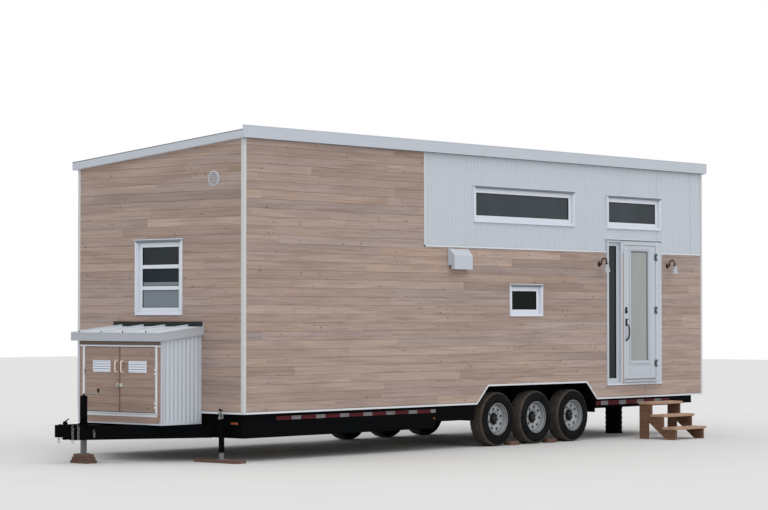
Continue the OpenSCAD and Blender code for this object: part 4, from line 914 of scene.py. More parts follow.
for z in HINGE_ZS:
    shape.lathe([(4.15, -18), (7, -18), (7, 18), (4.15, 18)], (*HINGE, z), segments=24, closed=True)
    shape.box((HINGE[0] - 36, HINGE[1] + 9.6, z - 48), (HINGE[0] - 9, LEAF_FACE, z + 48), 1)
    shape.box((HINGE[0] - 8.5, HINGE[1] + 1, z - 18), (HINGE[0] - 5, LEAF_FACE, z + 18), 1)
    for k in (-34, 0, 34):
        shape.screw((HINGE[0] - 22, HINGE[1] + 9.7, z + k), (0, -1, 0))
shape.make([BLACK_IRON, HINGE_GREY, PALE_ZINC], body="entry_door", slot="black_steel",
           replaces=("entry_door_hardware",))

shape = Shape("hinge_caps")
for z in HINGE_ZS:
    for s in (-1, 1):
        top = z + s * 50.5
        shape.lathe([(7, 0), (7.6, 1), (7.2, 4), (4, 6), (0, 6.5)], (HINGE[0], HINGE[1], top), (0, 0, s), 20)
        for k in (10, 22):
            shape.screw((HINGE[0] + 22, HINGE[1] + 0.2, z + s * (16 + k)), (0, -1, 0))
shape.make([HINGE_GREY], slot="black_steel")

# The door's pane: pleated shade between two sheets of glass
DOOR_PLEAT = 0.019
k = Look("door_pane", tone(150, 155, 154), 0.3, Specular_IOR_Level=0.2, Coat_Weight=0.2, Coat_Roughness=0.05)
height = k.node("SeparateXYZ", Vector=k.coords()).outputs["Z"]
wave = k.calc("SINE", k.calc("MULTIPLY", height, 2 * math.pi / DOOR_PLEAT))
soft = k.noise(k.coords((2, 2, 0.6)), 1.0, 2.0)
color = k.mix(k.ramp(soft, (0.35, 0.0), (0.7, 1.0)), tone(158, 162, 158), tone(147, 152, 152))
# Painted shade in the folds: the pleats darken in stripes
color = k.mix(k.ramp(k.calc("MULTIPLY_ADD", wave, 0.5), (0.0, 0.0), (1.0, 0.16)), color, tone(110, 114, 114))
k.out("Base Color", color)
k.bump(wave, 0.12, 0.002)
dress(k.mat, "entry_door_glass")

# ---------------------------------------------------------------- lamps and vents

LAMP_Z, LAMP_OUT = 2590, -147
metal, glass, bulbs = Shape("lamp_metalwork"), Shape("lamp_glass"), Shape("lamp_bulbs")
for lx in (7466, 9230):
    metal.lathe([(0, 0), (55, 0), (55, 5), (50, 9), (44, 10), (38, 16), (20, 20), (0, 20)],
                (lx, 0, LAMP_Z), (0, -1, 0), 40)
    path = [(lx, -16, LAMP_Z), (lx, -42, LAMP_Z)]
    path += [(lx, -45 - 12 * math.sin(a), LAMP_Z + 12 - 12 * math.cos(a)) for a in
             (math.pi / 2 * i / 6 for i in range(7))]
    path += [(lx, -102 + 45 * math.cos(a), LAMP_Z + 40 + 45 * math.sin(a)) for a in
             (math.pi * i / 18 for i in range(19))]
    path.append((lx, LAMP_OUT, LAMP_Z + 14))
    metal.tube(path, 10.5, 14)
    metal.lathe([(0, 22), (9, 22), (13, 17), (22, 15), (25, 8), (25, -12), (27.5, -13), (27.5, -15), (0, -15)],
                (lx, LAMP_OUT, LAMP_Z), (0, 0, 1), 32)
    metal.lathe([(0, -15), (14, -15), (14, -36), (0, -36)], (lx, LAMP_OUT, LAMP_Z), (0, 0, 1), 20)
    for k in (-1, 1):
        metal.lathe([(0, 0), (4, 0), (4, 2), (0, 3)], (lx + 30 * k, -13, LAMP_Z), (0, -1, 0), 10)
    glass.lathe([(25.4, -2), (27, -2), (31, -14), (35, -30), (40, -56), (45, -84), (52, -117), (51, -118),
                 (49, -117), (42.5, -84), (37.5, -56), (32.5, -30), (28.6, -14), (25.4, -5)],
                (lx, LAMP_OUT, LAMP_Z), (0, 0, 1), 48, closed=True)
    bulbs.lathe([(0, -84), (12, -82), (22, -74), (26, -60), (22, -48), (14, -38), (13, -34), (0, -34)],
                (lx, LAMP_OUT, LAMP_Z), (0, 0, 1), 28)
metal.make([BRONZE], slot="black_steel", replaces=("wall_lamps",))
glass.make([CLEAR_GLASS], slot="glazing", replaces=("lamp_shades",))
bulbs.make([glazing("bulb_glass", (232, 228, 214), 0.35, 0.3)], slot="glazing")

# A round vent high on the front wall, and a hooded one on the door side
shape = Shape("vents")
shape.place = wall(1)
vx, vz = HOUSE_W - 520, 3555
shape.lathe([(0, -140), (74, -140), (74, 0), (100, 0), (100, 8), (96, 16), (88, 20), (82, 18), (80, 10),
             (80, 4), (0, 4)], (vx, 0, vz), (0, -1, 0), 64)
for i in range(7):
    dz = -63 + 21 * i
    half = math.sqrt(81 ** 2 - dz ** 2)
    shape.prism([(-4, dz + vz + 9), (-19, dz + vz - 5), (-19, dz + vz - 7.5), (-4, dz + vz + 6)],
                vx - half, vx + half, 0)
# Painted shade: a dark disc behind the slats, for the vent's shaded inside
shape.slot = 1
shape.lathe([(0, 3.8), (79, 3.8), (79, 5.2), (0, 5.2)], (vx, 0, vz), (0, -1, 0), 48)
shape.place = wall(0)
shape.slot = 0
x0, x1 = 3980, 4380
side = [(0, 2522), (-60, 2522), (-60, 2465), (-112, 2465), (-112, 2652), (-40, 2738), (0, 2750)]
shape.prism(side, x0, x0 + 3, 0)
shape.prism(side, x1 - 3, x1, 0)
shape.prism([(-109, 2465), (-112, 2465), (-112, 2652), (-40, 2738), (0, 2750), (0, 2746), (-38, 2734),
             (-109, 2650)], x0 + 2, x1 - 2, 0)
shape.prism([(0, 2522), (-60, 2522), (-60, 2465), (-57, 2465), (-57, 2525), (0, 2525)], x0 + 2, x1 - 2, 0)
shape.box((x0 - 16, -20, 2512), (x0 + 1, -17, 2764), 1)
shape.box((x1 - 1, -20, 2512), (x1 + 16, -17, 2764), 1)
for z in (2560, 2660):
    for x in (x0 - 8, x1 + 8):
        shape.lathe([(0, 0), (4, 0), (4, 1.5), (0, 3)], (x, -20, z), (0, -1, 0), 12)
# Painted shade: a dark screen with slats across the hood's mouth, dark as the shade inside the hood
shape.slot = 1
shape.box((x0 + 3, -109, 2486), (x1 - 3, -58, 2489), 0.5)
for i in range(6):
    shape.box((x0 + 20 + 72 * i, -108, 2480), (x0 + 23 + 72 * i, -60, 2486), 0.5)
shape.make([WHITE_PAINT, GASKET_AND_SHADE_BLACK], slot="white_paint", replaces=("wall_vents",))

# ---------------------------------------------------------------- edge boards

shape = Shape("roof_edge_details")
for x in (2450, 4890, 7330, 9770):
    shape.box((x - 1.5, -69.2, 4048), (x + 1.5, -66, 4199), 0.5)
shape.box((-66, -70, 4188), (HOUSE_L + 66, -67, 4200), 1)
# A grey strip along the top of each rake: the drip edge, darkened too as painted shade under the roof's edge
shape.slot = 2
for x0, x1 in ((-67.9, -65), (HOUSE_L + 65, HOUSE_L + 67.9)):
    slope_strip(shape, -66, HOUSE_W + 66, 86, 96, x0, x1)
# Painted shade: a dark strip under the eave, along the top of the wall
shape.slot = 1
shape.box((-44, -45, 4041.6), (HOUSE_L + 44, -22, 4044.2), 0.3)
shape.make([WHITE_PAINT, DARK_FLASHING_AND_SHADE, DRIP_EDGE_AND_SHADE_GREY], slot="white_paint")

# ---------------------------------------------------------------- tongue box

BOX_FRONT, BOX_BACK, BOX_HALF = -682, -14.3, 768
BOX_RISE = 71 / 682
LEAF_LOW, LEAF_HIGH, BOX_BOARD = 621, 1432, 101.4


def box_top(x):
    return 1518 + BOX_RISE * (x - BOX_FRONT)


shape = Shape("box_side_sheets")
length = BOX_BACK - BOX_FRONT
shape.place = Matrix.Translation((BOX_FRONT, BOX_Y - BOX_HALF, 0))
ribbed(shape, 34, length - 30, 497, lambda x: box_top(BOX_FRONT + x) - 2, pitch=70, depth=9, stand=0.4)
shape.place = Matrix.Translation((BOX_BACK, BOX_Y + BOX_HALF, 0)) @ Matrix.Rotation(math.pi, 4, "Z")
ribbed(shape, 30, length - 34, 497, lambda x: box_top(BOX_BACK - x) - 2, pitch=70, depth=9, stand=0.4)
shape.make([WHITE_METAL], slot="white_metal")

shape = Shape("box_trims")
for s in (-1, 1):
    y = BOX_Y + s * BOX_HALF
    shape.prism([(BOX_FRONT - 5, 467), (BOX_FRONT + 30, 467), (BOX_FRONT + 30, box_top(BOX_FRONT + 30) - 1),
                 (BOX_FRONT - 5, box_top(BOX_FRONT) - 2)], y - s * 1, y + s * 12, 1)
    shape.box((BOX_FRONT - 14, y - s * 19, 467), (BOX_FRONT - 0.5, y + s * 12, 1515), 2)
    shape.prism([(BOX_BACK - 36, 467), (BOX_BACK - 1, 467), (BOX_BACK - 1, box_top(BOX_BACK) - 2),
                 (BOX_BACK - 36, box_top(BOX_BACK - 36) - 2)], y - s * 1, y + s * 12, 1)
    shape.box((BOX_FRONT - 2, y - s * 1, 466), (BOX_BACK - 1, y + s * 13, 499), 2)
shape.box((BOX_FRONT - 16, BOX_Y - BOX_HALF - 10, 466), (BOX_FRONT - 0.5, BOX_Y + BOX_HALF + 10, 484), 2)
shape.box((BOX_FRONT - 26, BOX_Y - 706, 598), (BOX_FRONT - 10, BOX_Y + 706, 614), 2)
shape.box((BOX_FRONT - 16.5, BOX_Y - 748, 1457), (BOX_FRONT - 13, BOX_Y + 748, 1461), 1)
shape.make([WHITE_PAINT], slot="white_paint")

shape = Shape("box_stiles")
rng = random.Random(5)
for s in (-1, 1):
    shape.grain = (2, 1, 0, rng.uniform(0, 50))
    shape.tint = (0.84, 0.8, 0.78)
    shape.box((BOX_FRONT - 11, BOX_Y + s * 693, 502), (BOX_FRONT - 0.5, BOX_Y + s * 748, 1437), 1.5)
# The lower rail, and the upper rail under the lid, whose much darker tint is painted shade under the lid's
# overhang
for z0, z1, half, tint in ((486, 564, 692, (0.84, 0.78, 0.76)), (1463, 1513, 748, (0.46, 0.43, 0.41))):
    shape.grain = (1, 2, 0, rng.uniform(0, 50))
    shape.tint = tint
    shape.box((BOX_FRONT - 11, BOX_Y - half, z0), (BOX_FRONT - 0.5, BOX_Y + half, z1), 1.5)
shape.make([BOARDS], slot="stained_boards")


def box_leaf(name, body, s):
    """One leaf of the box's pair, on side s of the middle."""
    rng = random.Random(17 if s > 0 else 29)
    y = lambda v: BOX_Y + s * v
    shape = Shape(name)
    shape.grain = (1, 2, 0, 3.0 * s)
    shape.box((BOX_FRONT, y(4.5), LEAF_LOW - 1), (BOX_FRONT + 20, y(647), LEAF_HIGH + 1), 1)
    z = LEAF_LOW
    while z < LEAF_HIGH:
        top = min(LEAF_HIGH, z + BOX_BOARD)
        light = rng.gauss(1.0, 0.05)
        warm = rng.gauss(0.03, 0.015)
        shape.grain = (1, 2, 0, rng.uniform(0, 70))
        shape.tint = (light * (1 + warm) * 0.84, light * 0.82, light * (1 - warm) * 0.81)
        shape.box((BOX_FRONT - 9, y(9), z + 1.2), (BOX_FRONT + 1, y(645), top - 1.2), 1.5)
        z = top
    shape.tint = (0.68, 0.52, 0.47)
    shape.grain = (2, 1, 0, 11.0 + s)
    shape.box((BOX_FRONT - 11, y(5), LEAF_LOW), (BOX_FRONT + 1, y(16), LEAF_HIGH), 1)
    # Louvred vent
    shape.slot, shape.tint = 1, (1, 1, 1)
    low, high = 1115, 1262
    shape.box((BOX_FRONT - 11, y(170), low), (BOX_FRONT - 8, y(495), high), 1)
    lo, hi = sorted((y(170), y(495)))
    for y0, z0, y1, z1 in ((lo, low, hi, low + 12), (lo, high - 12, hi, high),
                           (lo, low + 12, lo + 14, high - 12), (hi - 14, low + 12, hi, high - 12)):
        shape.box((BOX_FRONT - 16, y0, z0), (BOX_FRONT - 10, y1, z1), 1.5)
    shape.slot = 5
    shape.box((BOX_FRONT - 12.2, lo + 13, low + 11), (BOX_FRONT - 10.8, hi - 13, high - 11), 0.3)
    shape.slot = 1
    for i in range(4):
        z = 1128 + 31 * i
        shape.prism([(BOX_FRONT - 12, z + 22), (BOX_FRONT - 13, z + 24), (BOX_FRONT - 19, z + 5),
                     (BOX_FRONT - 18, z + 1), (BOX_FRONT - 12, z + 3)], lo + 13, hi - 13, 1)
    # Bow handle on two round feet
    shape.slot = 2
    feet = (1120, 1256)
    path = [(BOX_FRONT - 9, y(55), feet[0]), (BOX_FRONT - 30, y(55), feet[0])]
    path += [(BOX_FRONT - 30 - 10 * math.sin(a), y(55), feet[0] + 10 - 10 * math.cos(a)) for a in
             (math.pi / 10 * i for i in range(1, 6))]
    path += [(px, py, sum(feet) - pz) for px, py, pz in reversed(path)]
    shape.tube(path, 9.5, 14)
    for z in feet:
        shape.lathe([(0, 0), (14, 0), (13, 3), (8, 5), (0, 5)], (BOX_FRONT - 9, y(55), z), (-1, 0, 0), 20)
    # Hinges, and the hasp with its padlock
    shape.slot = 6
    axis = (BOX_FRONT - 20.3, y(650))
    for z in (710, 1131):
        shape.lathe([(3.15, -12), (6, -12), (6, 12), (3.15, 12)], (*axis, z), (0, 0, 1), 20, closed=True)
        shape.box((BOX_FRONT - 12, y(598), z - 12), (BOX_FRONT - 8.5, y(644), z + 12), 1)
        shape.box((axis[0] + 3.6, y(643), z - 11.5), (BOX_FRONT - 9, y(646), z + 11.5), 0.5)
        for k in (606, 620):
            shape.lathe([(0, 0), (3.5, 0), (3.5, 1), (0, 2)], (BOX_FRONT - 12, y(k), z), (-1, 0, 0), 10)
    if s > 0:
        shape.slot = 7
        shape.box((BOX_FRONT - 13, y(6), 932), (BOX_FRONT - 9, y(62), 976), 1)
        shape.slot = 3
        shape.tube([(BOX_FRONT - 12, y(22), 950), (BOX_FRONT - 26, y(22), 950), (BOX_FRONT - 30, y(22), 956),
                    (BOX_FRONT - 26, y(22), 962), (BOX_FRONT - 12, y(22), 962)], 2.5, 8)
        shape.slot = 4
        shape.box((BOX_FRONT - 34, y(8), 912), (BOX_FRONT - 18, y(36), 942), 3)
        shape.tube([(BOX_FRONT - 26, y(13), 938), (BOX_FRONT - 26, y(13), 956), (BOX_FRONT - 26, y(17), 964),
                    (BOX_FRONT - 26, y(27), 964), (BOX_FRONT - 26, y(31), 956), (BOX_FRONT - 26, y(31), 938)],
                   2.6, 10)
    else:
        shape.slot = 7
        shape.box((BOX_FRONT - 13, y(6), 932), (BOX_FRONT - 9, y(52), 976), 1)
    shape.make([BOARDS, LOUVRE_PAINT, CREAM, BLACK_IRON, ZINC, SHADE_GREY, BRASS_BROWN, PALE_ZINC], body=body,
               slot="stained_boards", replaces=(body,))


box_leaf("box_leaf_far", "box_door_left", 1)
box_leaf("box_leaf_near", "box_door_right", -1)

LID_FRONT, LID_BACK = -760, BOX_BACK - 10
LID_SEAMS = (2188, 1783, 1379, 961)
LID_SIDES = (693, 2351)
shape = Shape("box_roof_sheet")


def lid(x):
    return box_top(x) + 104


def lid_strip(start, low, high, y0, y1):
    """A strip down the lid's slope, between two heights above its face."""
    front, x0 = lid(LID_FRONT), LID_FRONT + start
    shape.prism([(x0, front + low), (LID_BACK, lid(LID_BACK) + low), (LID_BACK, lid(LID_BACK) + high),
                 (x0, front + high)], y0, y1, 1)


for y in LID_SEAMS:
    lid_strip(2, -1, 24, y - 9, y + 9)
    lid_strip(1, 22, 27, y - 13, y + 13)
for i in range(17):
    y = 715 + 101 * i
    if min(abs(y - seam) for seam in LID_SEAMS) > 40:
        lid_strip(2, -1, 3, y - 6, y + 6)
# Fascia, with a fold along its upper edge
shape.slot = 1
for fold, board_edges in (((691.5, 695.5), (692.2, 694)), ((2350, 2351), (2350.2, 2351.3))):
    lid_strip(0, -16, 5, *fold)
    lid_strip(0, -103, -14, *board_edges)
front, back = lid(LID_FRONT), lid(LID_BACK)
shape.box((LID_FRONT - 3, LID_SIDES[0], front - 16), (LID_FRONT + 3, LID_SIDES[1], front + 4), 1)
shape.box((LID_FRONT - 1.2, LID_SIDES[0] - 0.5, front - 103),
          (LID_FRONT + 1, LID_SIDES[1] + 0.5, front - 14), 0.4)
# Dark ends of the seams, as painted shade in their hollows, and the flashing against the wall, dark both as
# flashing and as painted shade along the wall
shape.slot = 2
for y in LID_SEAMS:
    shape.box((LID_FRONT - 1.5, y - 8, front + 5), (LID_FRONT + 3, y + 8, front + 27), 0.5)
shape.box((LID_BACK - 6, 694, back + 3), (LID_BACK - 0.5, 2350, back + 63), 1)
shape.box((LID_BACK - 6, 694, back + 61.5), (BOX_BACK - 0.5, 2350, back + 64), 0.8)
shape.make([ROOF_METAL, BOX_PAINT, DARK_FLASHING_AND_SHADE], slot="white_metal")

# ---------------------------------------------------------------- tongue and frame fittings

CENTER_Y = HOUSE_W / 2
shape = Shape("chain_links")
for s in (-1, 1):
    for x, bolt_z, links, off in ((-1568, 470, 5, 92.97), (-1495, 470, 4, 114.3), (-1320, 410, 2, 210.6)):
        y = CENTER_Y + s * (off + 36)
        for i in range(links):
            cz = bolt_z + 5.3 - i * 42.2 - 22
            path = []
            for n in range(24):
                a = 2 * math.pi * n / 24
                u = 12.5 * math.cos(a)
                v = 12.5 * math.sin(a) + (13 if math.sin(a) >= 0 else -13)
                path.append((x + u, y, cz + v) if i % 2 == 0 else (x, y + u, cz + v))
            shape.tube(path, 3.4, 10, closed=True)
shape.make([ZINC], slot="zinc_steel", replaces=("safety_chains",))

shape = Shape("jack_fittings")
jx, jy = -1274, CENTER_Y
for dx in (-105, 105):
    for dy in (-205, 205):
        shape.bolt((jx + dx, jy + dy, 477), (0, 0, 1), 11, 9)
shape.box((jx - 35, jy - 35, 806), (jx + 35, jy + 35, 833), 3)
shape.lathe([(0, 833), (20, 833), (20, 845), (12, 852), (9.3, 852), (9.3, 833)], (jx, jy, 0), (0, 0, 1), 28)
shape.box((jx - 34, jy - 34, 287), (jx + 34, jy + 34, 303), 2)
COUPLER_TOP = 485
shape.lathe([(0, 0), (18, 0), (18, 4), (12, 9), (0, 9)], (-1664, CENTER_Y, COUPLER_TOP), (0, 0, 1), 24)
for x in (-1600, -1560):
    for s in (-1, 1):
        shape.bolt((x, CENTER_Y + s * 48, COUPLER_TOP), (0, 0, 1), 8, 7)
# Screw head and handle of the stabiliser
shape.slot = 1
px, py = -100, 283
shape.lathe([(0, 538), (22, 538), (24, 544), (22, 566), (15, 572), (12, 580), (12, 612), (16, 618), (16, 634),
             (10, 642), (0, 642)], (px, py + 30, 0), (0, 0, 1), 28)
shape.tube([(px, py - 22, 560), (px, py - 16, 592), (px, py + 4, 622), (px, py + 30, 630)], [9, 9, 8, 8], 12)
shape.tube([(px, py + 30, 556), (px, py + 4, 552), (px, py - 22, 556)], [11, 11, 10], 12)
shape.slot = 2
shape.tube([(px, py - 16, 648), (px, py + 8, 652), (px, py + 40, 652)], [9, 11, 9], 14)
shape.make([BLACK_STEEL, GREY_PAINT, BLACK_IRON], slot="black_steel")

shape = Shape("crank")
turn = math.radians(-49)
out = lambda r, z: (jx + r * math.cos(turn), jy + r * math.sin(turn), z)
shape.lathe([(0, 812), (9, 812), (9, 866), (6, 869), (0, 869)], (jx, jy, 0), (0, 0, 1), 20)
shape.tube([out(-4, 862), out(60, 863), out(120, 862), out(160, 860), out(172, 861), out(179, 866),
            out(180, 876)], [7, 7, 6.5, 6.5, 6.5, 6.5, 6.5], 14)
shape.slot = 1
shape.lathe([(0, 873), (11, 873), (13, 878), (12.5, 886), (14, 890), (13.5, 900), (15.5, 905), (15, 914),
             (17, 920), (16, 924), (0, 924)], out(180, 0), (0, 0, 1), 24)
shape.make([ZINC, BLACK_IRON], body="jack_crank", slot="zinc_steel", replaces=("jack_crank",))

shape = Shape("frame_markings")
RED_LENGTH, WHITE_LENGTH = 279, 178


def tape(x, end, length, z0, z1):
    """Red and white tape along the near rail from x to end; the first red strip has the given length."""
    shape.slot = 0
    while x < end - 10:
        stop = min(x + length, end)
        shape.box((x + 1, 28.6, z0), (stop - 1, 30.4, z1), 0.3)
        x, shape.slot = stop, 1 - shape.slot
        length = WHITE_LENGTH if shape.slot else RED_LENGTH


tape(620, 3750, RED_LENGTH, 513, 560)
tape(7432, 9330, 126, 509, 570)
# Amber lamps at the front corners and on the near rail
shape.slot = 2
shape.box((29, 116, 470), (14, 244, 498), 5)
shape.box((29, 2806, 470), (14, 2934, 498), 5)
shape.lathe([(0, 0), (14, 0), (14, 6), (10, 11), (0, 12)], (3712, 30, 435), (0, -1, 0), 24)
shape.slot = 3
shape.box((31, 110, 464), (26, 250, 504), 2)
shape.box((31, 2800, 464), (26, 2940, 504), 2)
for x in (300, 900, 1500, 2100, 2700, 3300, 4000, 4400, 7700, 8300, 8900, 9500):
    shape.bolt((x, 30, 585), (0, -1, 0), 9, 7)
    shape.bolt((x, HOUSE_W - 30, 585), (0, 1, 0), 9, 7)
for s, y in ((-1, 30), (1, HOUSE_W - 30)):
    for x0, x1, z in ((32, 3719, 302), (3762, 4583, 392), (7418, 9929, 487)):
        shape.box((x0, y + s * 0.2, z), (x1, y + s * 5, z + 14), 2)
shape.make([RED_TAPE, WHITE_TAPE, AMBER, BLACK_STEEL], slot="black_steel")

# ---------------------------------------------------------------- wheels

WHEEL_R, TYRE_W, WHEEL_PITCH, FIRST_AXLE = 380, 235, 880, 5120
# Place in the tyre's profile at which the tread begins
SHOULDER = 12


def tyre_mesh():
    shape = Shape("tyre")
    half = [(205, 18), (209, 12), (222, 9.5), (236, 10.5), (240, 8), (262, 3.5), (266, 2), (300, 0.4),
            (309, 0.3), (312, 1.6), (340, 4.5), (352, 9), (356, 12), (366, 17), (372, 22), (376.5, 30),
            (378, 38), (378, 58), (369, 60), (369, 69), (379, 71), (379.5, 96), (370, 98), (370, 107),
            (380, 109)]
    profile = half + [(r, TYRE_W - w) for r, w in reversed(half)]
    n = 128

    def tread(i, j, r):
        j = min(j, len(profile) - 1 - j)
        if SHOULDER <= j <= 17 and i % 4 == 0:
            return r - 5.5
        if 20 <= j <= 21 and i % 4 == 2:
            return r - 3.5
        return r

    shape.lathe(profile, segments=n, closed=True, turn=tread)
    # From the shoulder on, the rubber is lighter: dust on the tread, and a painted highlight on the shoulder
    # where light falls
    for f in range(len(shape.faces)):
        j = min(f // n, 2 * len(half) - 2 - f // n)
        shape.slots[f] = 1 if j >= SHOULDER else 0
    return shape


def disc_depth(r):
    """Depth of the wheel disc's face behind the tyre's outer face."""
    points = [(56, 92), (84, 90), (93, 84), (103, 74), (114, 66), (126, 62), (150, 60), (172, 60), (184, 62)]
    for (r0, d0), (r1, d1) in zip(points, points[1:]):
        if r <= r1:
            return d0 + (d1 - d0) * max(0, r - r0) / (r1 - r0)
    return points[-1][1]


def rim_mesh():
    shape = Shape("rim")
    barrel = [(223, 8), (219, 6.5), (214, 9), (212, 14), (206, 16), (203, 22), (200, 60), (197, 90),
              (199, 130), (203, 212), (206, 219), (212, 221), (219, 228.5), (223, 227), (222, 222),
              (209, 214), (204.6, 205), (204.6, 30), (209, 19), (222, 13)]
    shape.lathe(barrel, segments=96, closed=True)
    # Disc between radius 84 and 184 with eight round hand holes
    holes, ring_r, hole_r, steps = 8, 142, 20, 40
    for front in (True, False):
        lift = 0 if front else 8
        for h in range(holes):
            base = 2 * math.pi * (h + 0.5) / holes
            half = math.pi / holes
            rows, edge = [], []
            for n in range(steps):
                t = n / steps * 4
                side, u = int(t), t - int(t)
                a, r = [(-half + 2 * half * u, 184), (half, 184 - 100 * u), (half - 2 * half * u, 84),
                        (-half, 84 + 100 * u)][side]
                edge.append((r * math.cos(a), r * math.sin(a)))
            circle = []
            for x, y in edge:
                a = math.atan2(y, x - ring_r)
                circle.append((ring_r + hole_r * math.cos(a), hole_r * math.sin(a)))
            for f in (0.0, 0.2, 0.4, 0.6, 0.8, 0.93, 1.0):
                row = []
                dip = (2.5 if front else -2.5) if f == 1.0 else 0.0
                for (x0, y0), (x1, y1) in zip(edge, circle):
                    x, y = x0 + (x1 - x0) * f, y0 + (y1 - y0) * f
                    r = math.hypot(x, y)
                    a = math.atan2(y, x) + base
                    row.append((r * math.cos(a), r * math.sin(a), disc_depth(r) + lift + dip))
                rows.append(row)
            verts = [v for row in rows for v in row]
            faces = []
            for j in range(len(rows) - 1):
                for i in range(steps):
                    k = (i + 1) % steps
                    faces.append([j * steps + i, j * steps + k, (j + 1) * steps + k, (j + 1) * steps + i])
            shape.add(verts, faces, smooth=True)
            if front:
                verts = rows[-1] + [(x, y, z + 3) for x, y, z in rows[-1]]
                shape.add(verts, [[i, (i + 1) % steps, steps + (i + 1) % steps, steps + i]
                                  for i in range(steps)], smooth=True)
    shape.lathe([(184, 62), (191, 66), (198.6, 72), (198.6, 81), (190, 77), (184, 70)], segments=96,
                closed=True)
    shape.slot = 2
    shape.lathe([(56, 92), (84, 92), (84, 100), (56, 100)], segments=64, closed=True)
    # Brake drum and hub cap, then the nuts and the valve
    shape.slot = 1
    shape.lathe([(57, 106), (172, 106), (176, 110), (176, 118), (57, 118)], segments=64, closed=True)
    shape.lathe([(22.2, 140), (56, 140), (56, 72), (53, 66), (44, 63), (42, 60), (34, 58.5), (0, 58.5), (0, 62),
                 (22.2, 62)], segments=48)
    shape.slot = 2
    for i in range(8):
        a = 2 * math.pi * i / 8
        shape.lathe([(0, 0), (13, 0), (12.5, -3), (11, -4), (11, -17), (9, -20), (6, -20), (6, -27), (0, -27)],
                    (71 * math.cos(a), 71 * math.sin(a), 92), segments=6)
    a = 0.4
    shape.tube([(207 * math.cos(a), 207 * math.sin(a), 24), (205 * math.cos(a), 205 * math.sin(a), 2)],
               [4, 3.2], 10)
    return shape


def place_wheels(source, materials, slots, kind):
    for side in ("near", "far"):
        for i in (1, 2, 3):
            hub = Vector((FIRST_AXLE + WHEEL_PITCH * (i - 1), 30 if side == "near" else HOUSE_W - 30, WHEEL_R))
            flip = 1 if side == "near" else -1
            spin = math.radians({1: 7, 2: 29, 3: -14}[i] * flip)
            wheel = Shape("%s_%s_%d_detail" % (side, kind, i))
            turn = (Matrix.Translation(hub) @ Matrix.Rotation(spin, 4, "Y")
                    @ Matrix(((1, 0, 0, 0), (0, 0, flip, 0), (0, 1, 0, 0), (0, 0, 0, 1))))
            wheel.verts = [turn @ v for v in source.verts]
            wheel.faces, wheel.slots, wheel.smooth = source.faces, source.slots, source.smooth
            wheel.tints, wheel.grains = source.tints, source.grains
            wheel.make(materials, body="%s_wheel_%d" % (side, i), slot=slots,
                       replaces=("%s_%s_%d" % (side, kind, i),))


place_wheels(tyre_mesh(), [RUBBER, DUSTY_AND_LIT_RUBBER], "tyre_rubber", "tyre")
place_wheels(rim_mesh(), [RIM_PAINT, BLACK_IRON, HUB_GREY], "silver_paint", "rim")

# ---------------------------------------------------------------- steps and timber

STEP_X, STEP_W, STEP_RUN, STEP_RISE, STEP_Z = 8090, 820, 210, 182, 184
TREAD_D, TREAD_T = 238, 38
tread_y = lambda i: -928 + STEP_RUN * i
tread_z = lambda i: STEP_Z + STEP_RISE * i
rng = random.Random(3)
shape = Shape("step_boards")
# Each tread is two boards
for i in range(3):
    for k in range(2):
        light = rng.gauss(1.0, 0.06)
        shape.tint = (light, light * 0.98, light * 0.97)
        shape.grain = (0, 1, 2, rng.uniform(0, 60))
        y = tread_y(i) + k * 121
        shape.box((STEP_X, y, tread_z(i) - TREAD_T), (STEP_X + STEP_W, y + 117, tread_z(i)), 5)
shape.slot, shape.tint = 1, (1, 1, 1)
for i in range(3):
    for x in (STEP_X + 44, STEP_X + STEP_W - 44):
        for y in (35, 85, 155, 205):
            shape.lathe([(0, -0.5), (4.5, -0.5), (4.5, 0.2), (0, 0.2)], (x, tread_y(i) + y, tread_z(i)),
                        segments=10)
shape.make([STEP_BOARDS, BLACK_IRON], slot="step_timber", replaces=("step_treads",))

shape = Shape("step_sides")
edges = [tread_y(i) + TREAD_D - STEP_RUN for i in range(3)]
under = [tread_z(i) - TREAD_T for i in range(3)]
top = under[2]
for x in (STEP_X + 25, STEP_X + STEP_W - 25 - 38):
    light = rng.gauss(1.0, 0.06)
    shape.tint = (light, light, light)
    shape.grain = (1, 2, 0, rng.uniform(0, 60))
    shape.prism([(-270, 0), (-270, top), (edges[2], top), (edges[2], under[1]), (edges[1], under[1]),
                 (edges[1], under[0]), (edges[0], under[0]), (edges[0], 0), (edges[0] + 150, 0),
                 (-420, top - 250), (-420, 0)], x, x + 38, 0)
shape.make([LEG_BOARDS], slot="step_timber", replaces=("step_frame",))

shape = Shape("ground_timbers")
for i in range(3):
    light = rng.gauss(1.0, 0.1)
    shape.tint = (light, light * 0.97, light * 0.95)
    shape.grain = (1, 0, 2, rng.uniform(0, 60))
    shape.box((jx - 90 + 12 * i, jy - 150 + 15 * i, 38 * i + (0.3 if i else 0)),
              (jx + 90 - 12 * i, jy + 150 - 15 * i, 38 * (i + 1)), 3)
shape.grain = (1, 0, 2, 8.0)
shape.tint = (0.86, 0.82, 0.8)
shape.box((-190, -62, 0), (-10, 683, 38), 3)
for x in (5390, 6270):
    shape.grain = (0, 1, 2, x / 100)
    shape.tint = (0.8, 0.72, 0.66)
    shape.box((x, 30, 0), (x + 200, 150, 55), 4)
shape.make([BLOCK_BOARDS], slot="step_timber", replaces=("timber_blocks",))

# ---------------------------------------------------------------- floor, light and camera

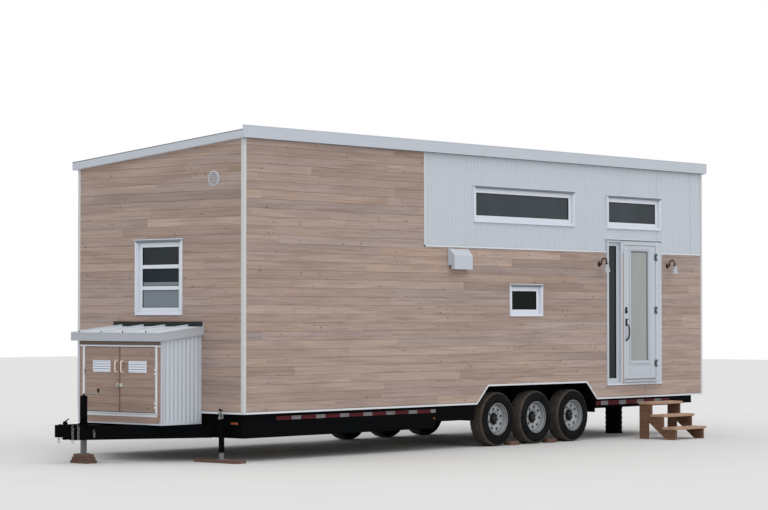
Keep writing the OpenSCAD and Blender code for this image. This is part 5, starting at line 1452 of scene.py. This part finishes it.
mesh = bpy.data.meshes.new("floor")
span = 60.0
mesh.from_pydata([(-span, -span, 0), (span, -span, 0), (span, span, 0), (-span, span, 0)], [], [[0, 1, 2, 3]])
k = Look("pale_floor", tone(206, 206, 205), 0.9)
k.out("Base Color", k.mix(k.noise(k.coords(), 0.7, 3.0), tone(208, 208, 207), tone(202, 202, 201)))
mesh.materials.append(k.mat)
floor = bpy.data.objects.new("floor", mesh)
bpy.context.scene.collection.objects.link(floor)

world = bpy.data.worlds.new("sky")
bpy.context.scene.world = world
world.use_nodes = True
sky = Nodes(world.node_tree)
sky.tree.nodes.clear()
ray = sky.node("LightPath").outputs
up = sky.node("SeparateXYZ", Vector=sky.node("TexCoord").outputs["Generated"]).outputs["Z"]
dome = sky.ramp(up, (0.0, (0.40, 0.41, 0.43, 1)), (0.9, (1.3, 1.3, 1.3, 1)))
# White to the camera, in reflections and through glass, and a soft dome for the light itself
seen = sky.calc("ADD", sky.calc("ADD", ray["Is Camera Ray"], ray["Is Glossy Ray"]), ray["Is Transmission Ray"])
seen.node.use_clamp = True
both = sky.node("MixShader")
sky.put(both, 0, seen)
sky.put(both, 1, sky.node("Background", Color=dome, Strength=1.0).outputs[0])
sky.put(both, 2, sky.node("Background", Color=(1, 1, 1, 1)).outputs[0])
sky.put(sky.node("OutputWorld"), "Surface", both.outputs[0])

lamp = bpy.data.lights.new("sky_lamp", "SUN")
lamp.energy = 0.9
lamp.angle = math.radians(70)
sun = bpy.data.objects.new("sky_lamp", lamp)
sun.rotation_euler = (math.radians(52), 0, math.radians(-28))
bpy.context.scene.collection.objects.link(sun)

cam = bpy.data.cameras.new("camera")
cam.sensor_fit = "HORIZONTAL"
cam.sensor_width = 36
cam.lens = 112.04
cam.clip_end = 200
camera = bpy.data.objects.new("camera", cam)
camera.location = (corner.x - 21.200, corner.y - 20.856, 1.825)
camera.rotation_euler = (math.radians(90 + 1.462), 0, math.radians(-48.83))
bpy.context.scene.collection.objects.link(camera)
bpy.context.scene.camera = camera
bpy.context.scene.view_settings.view_transform = "Standard"
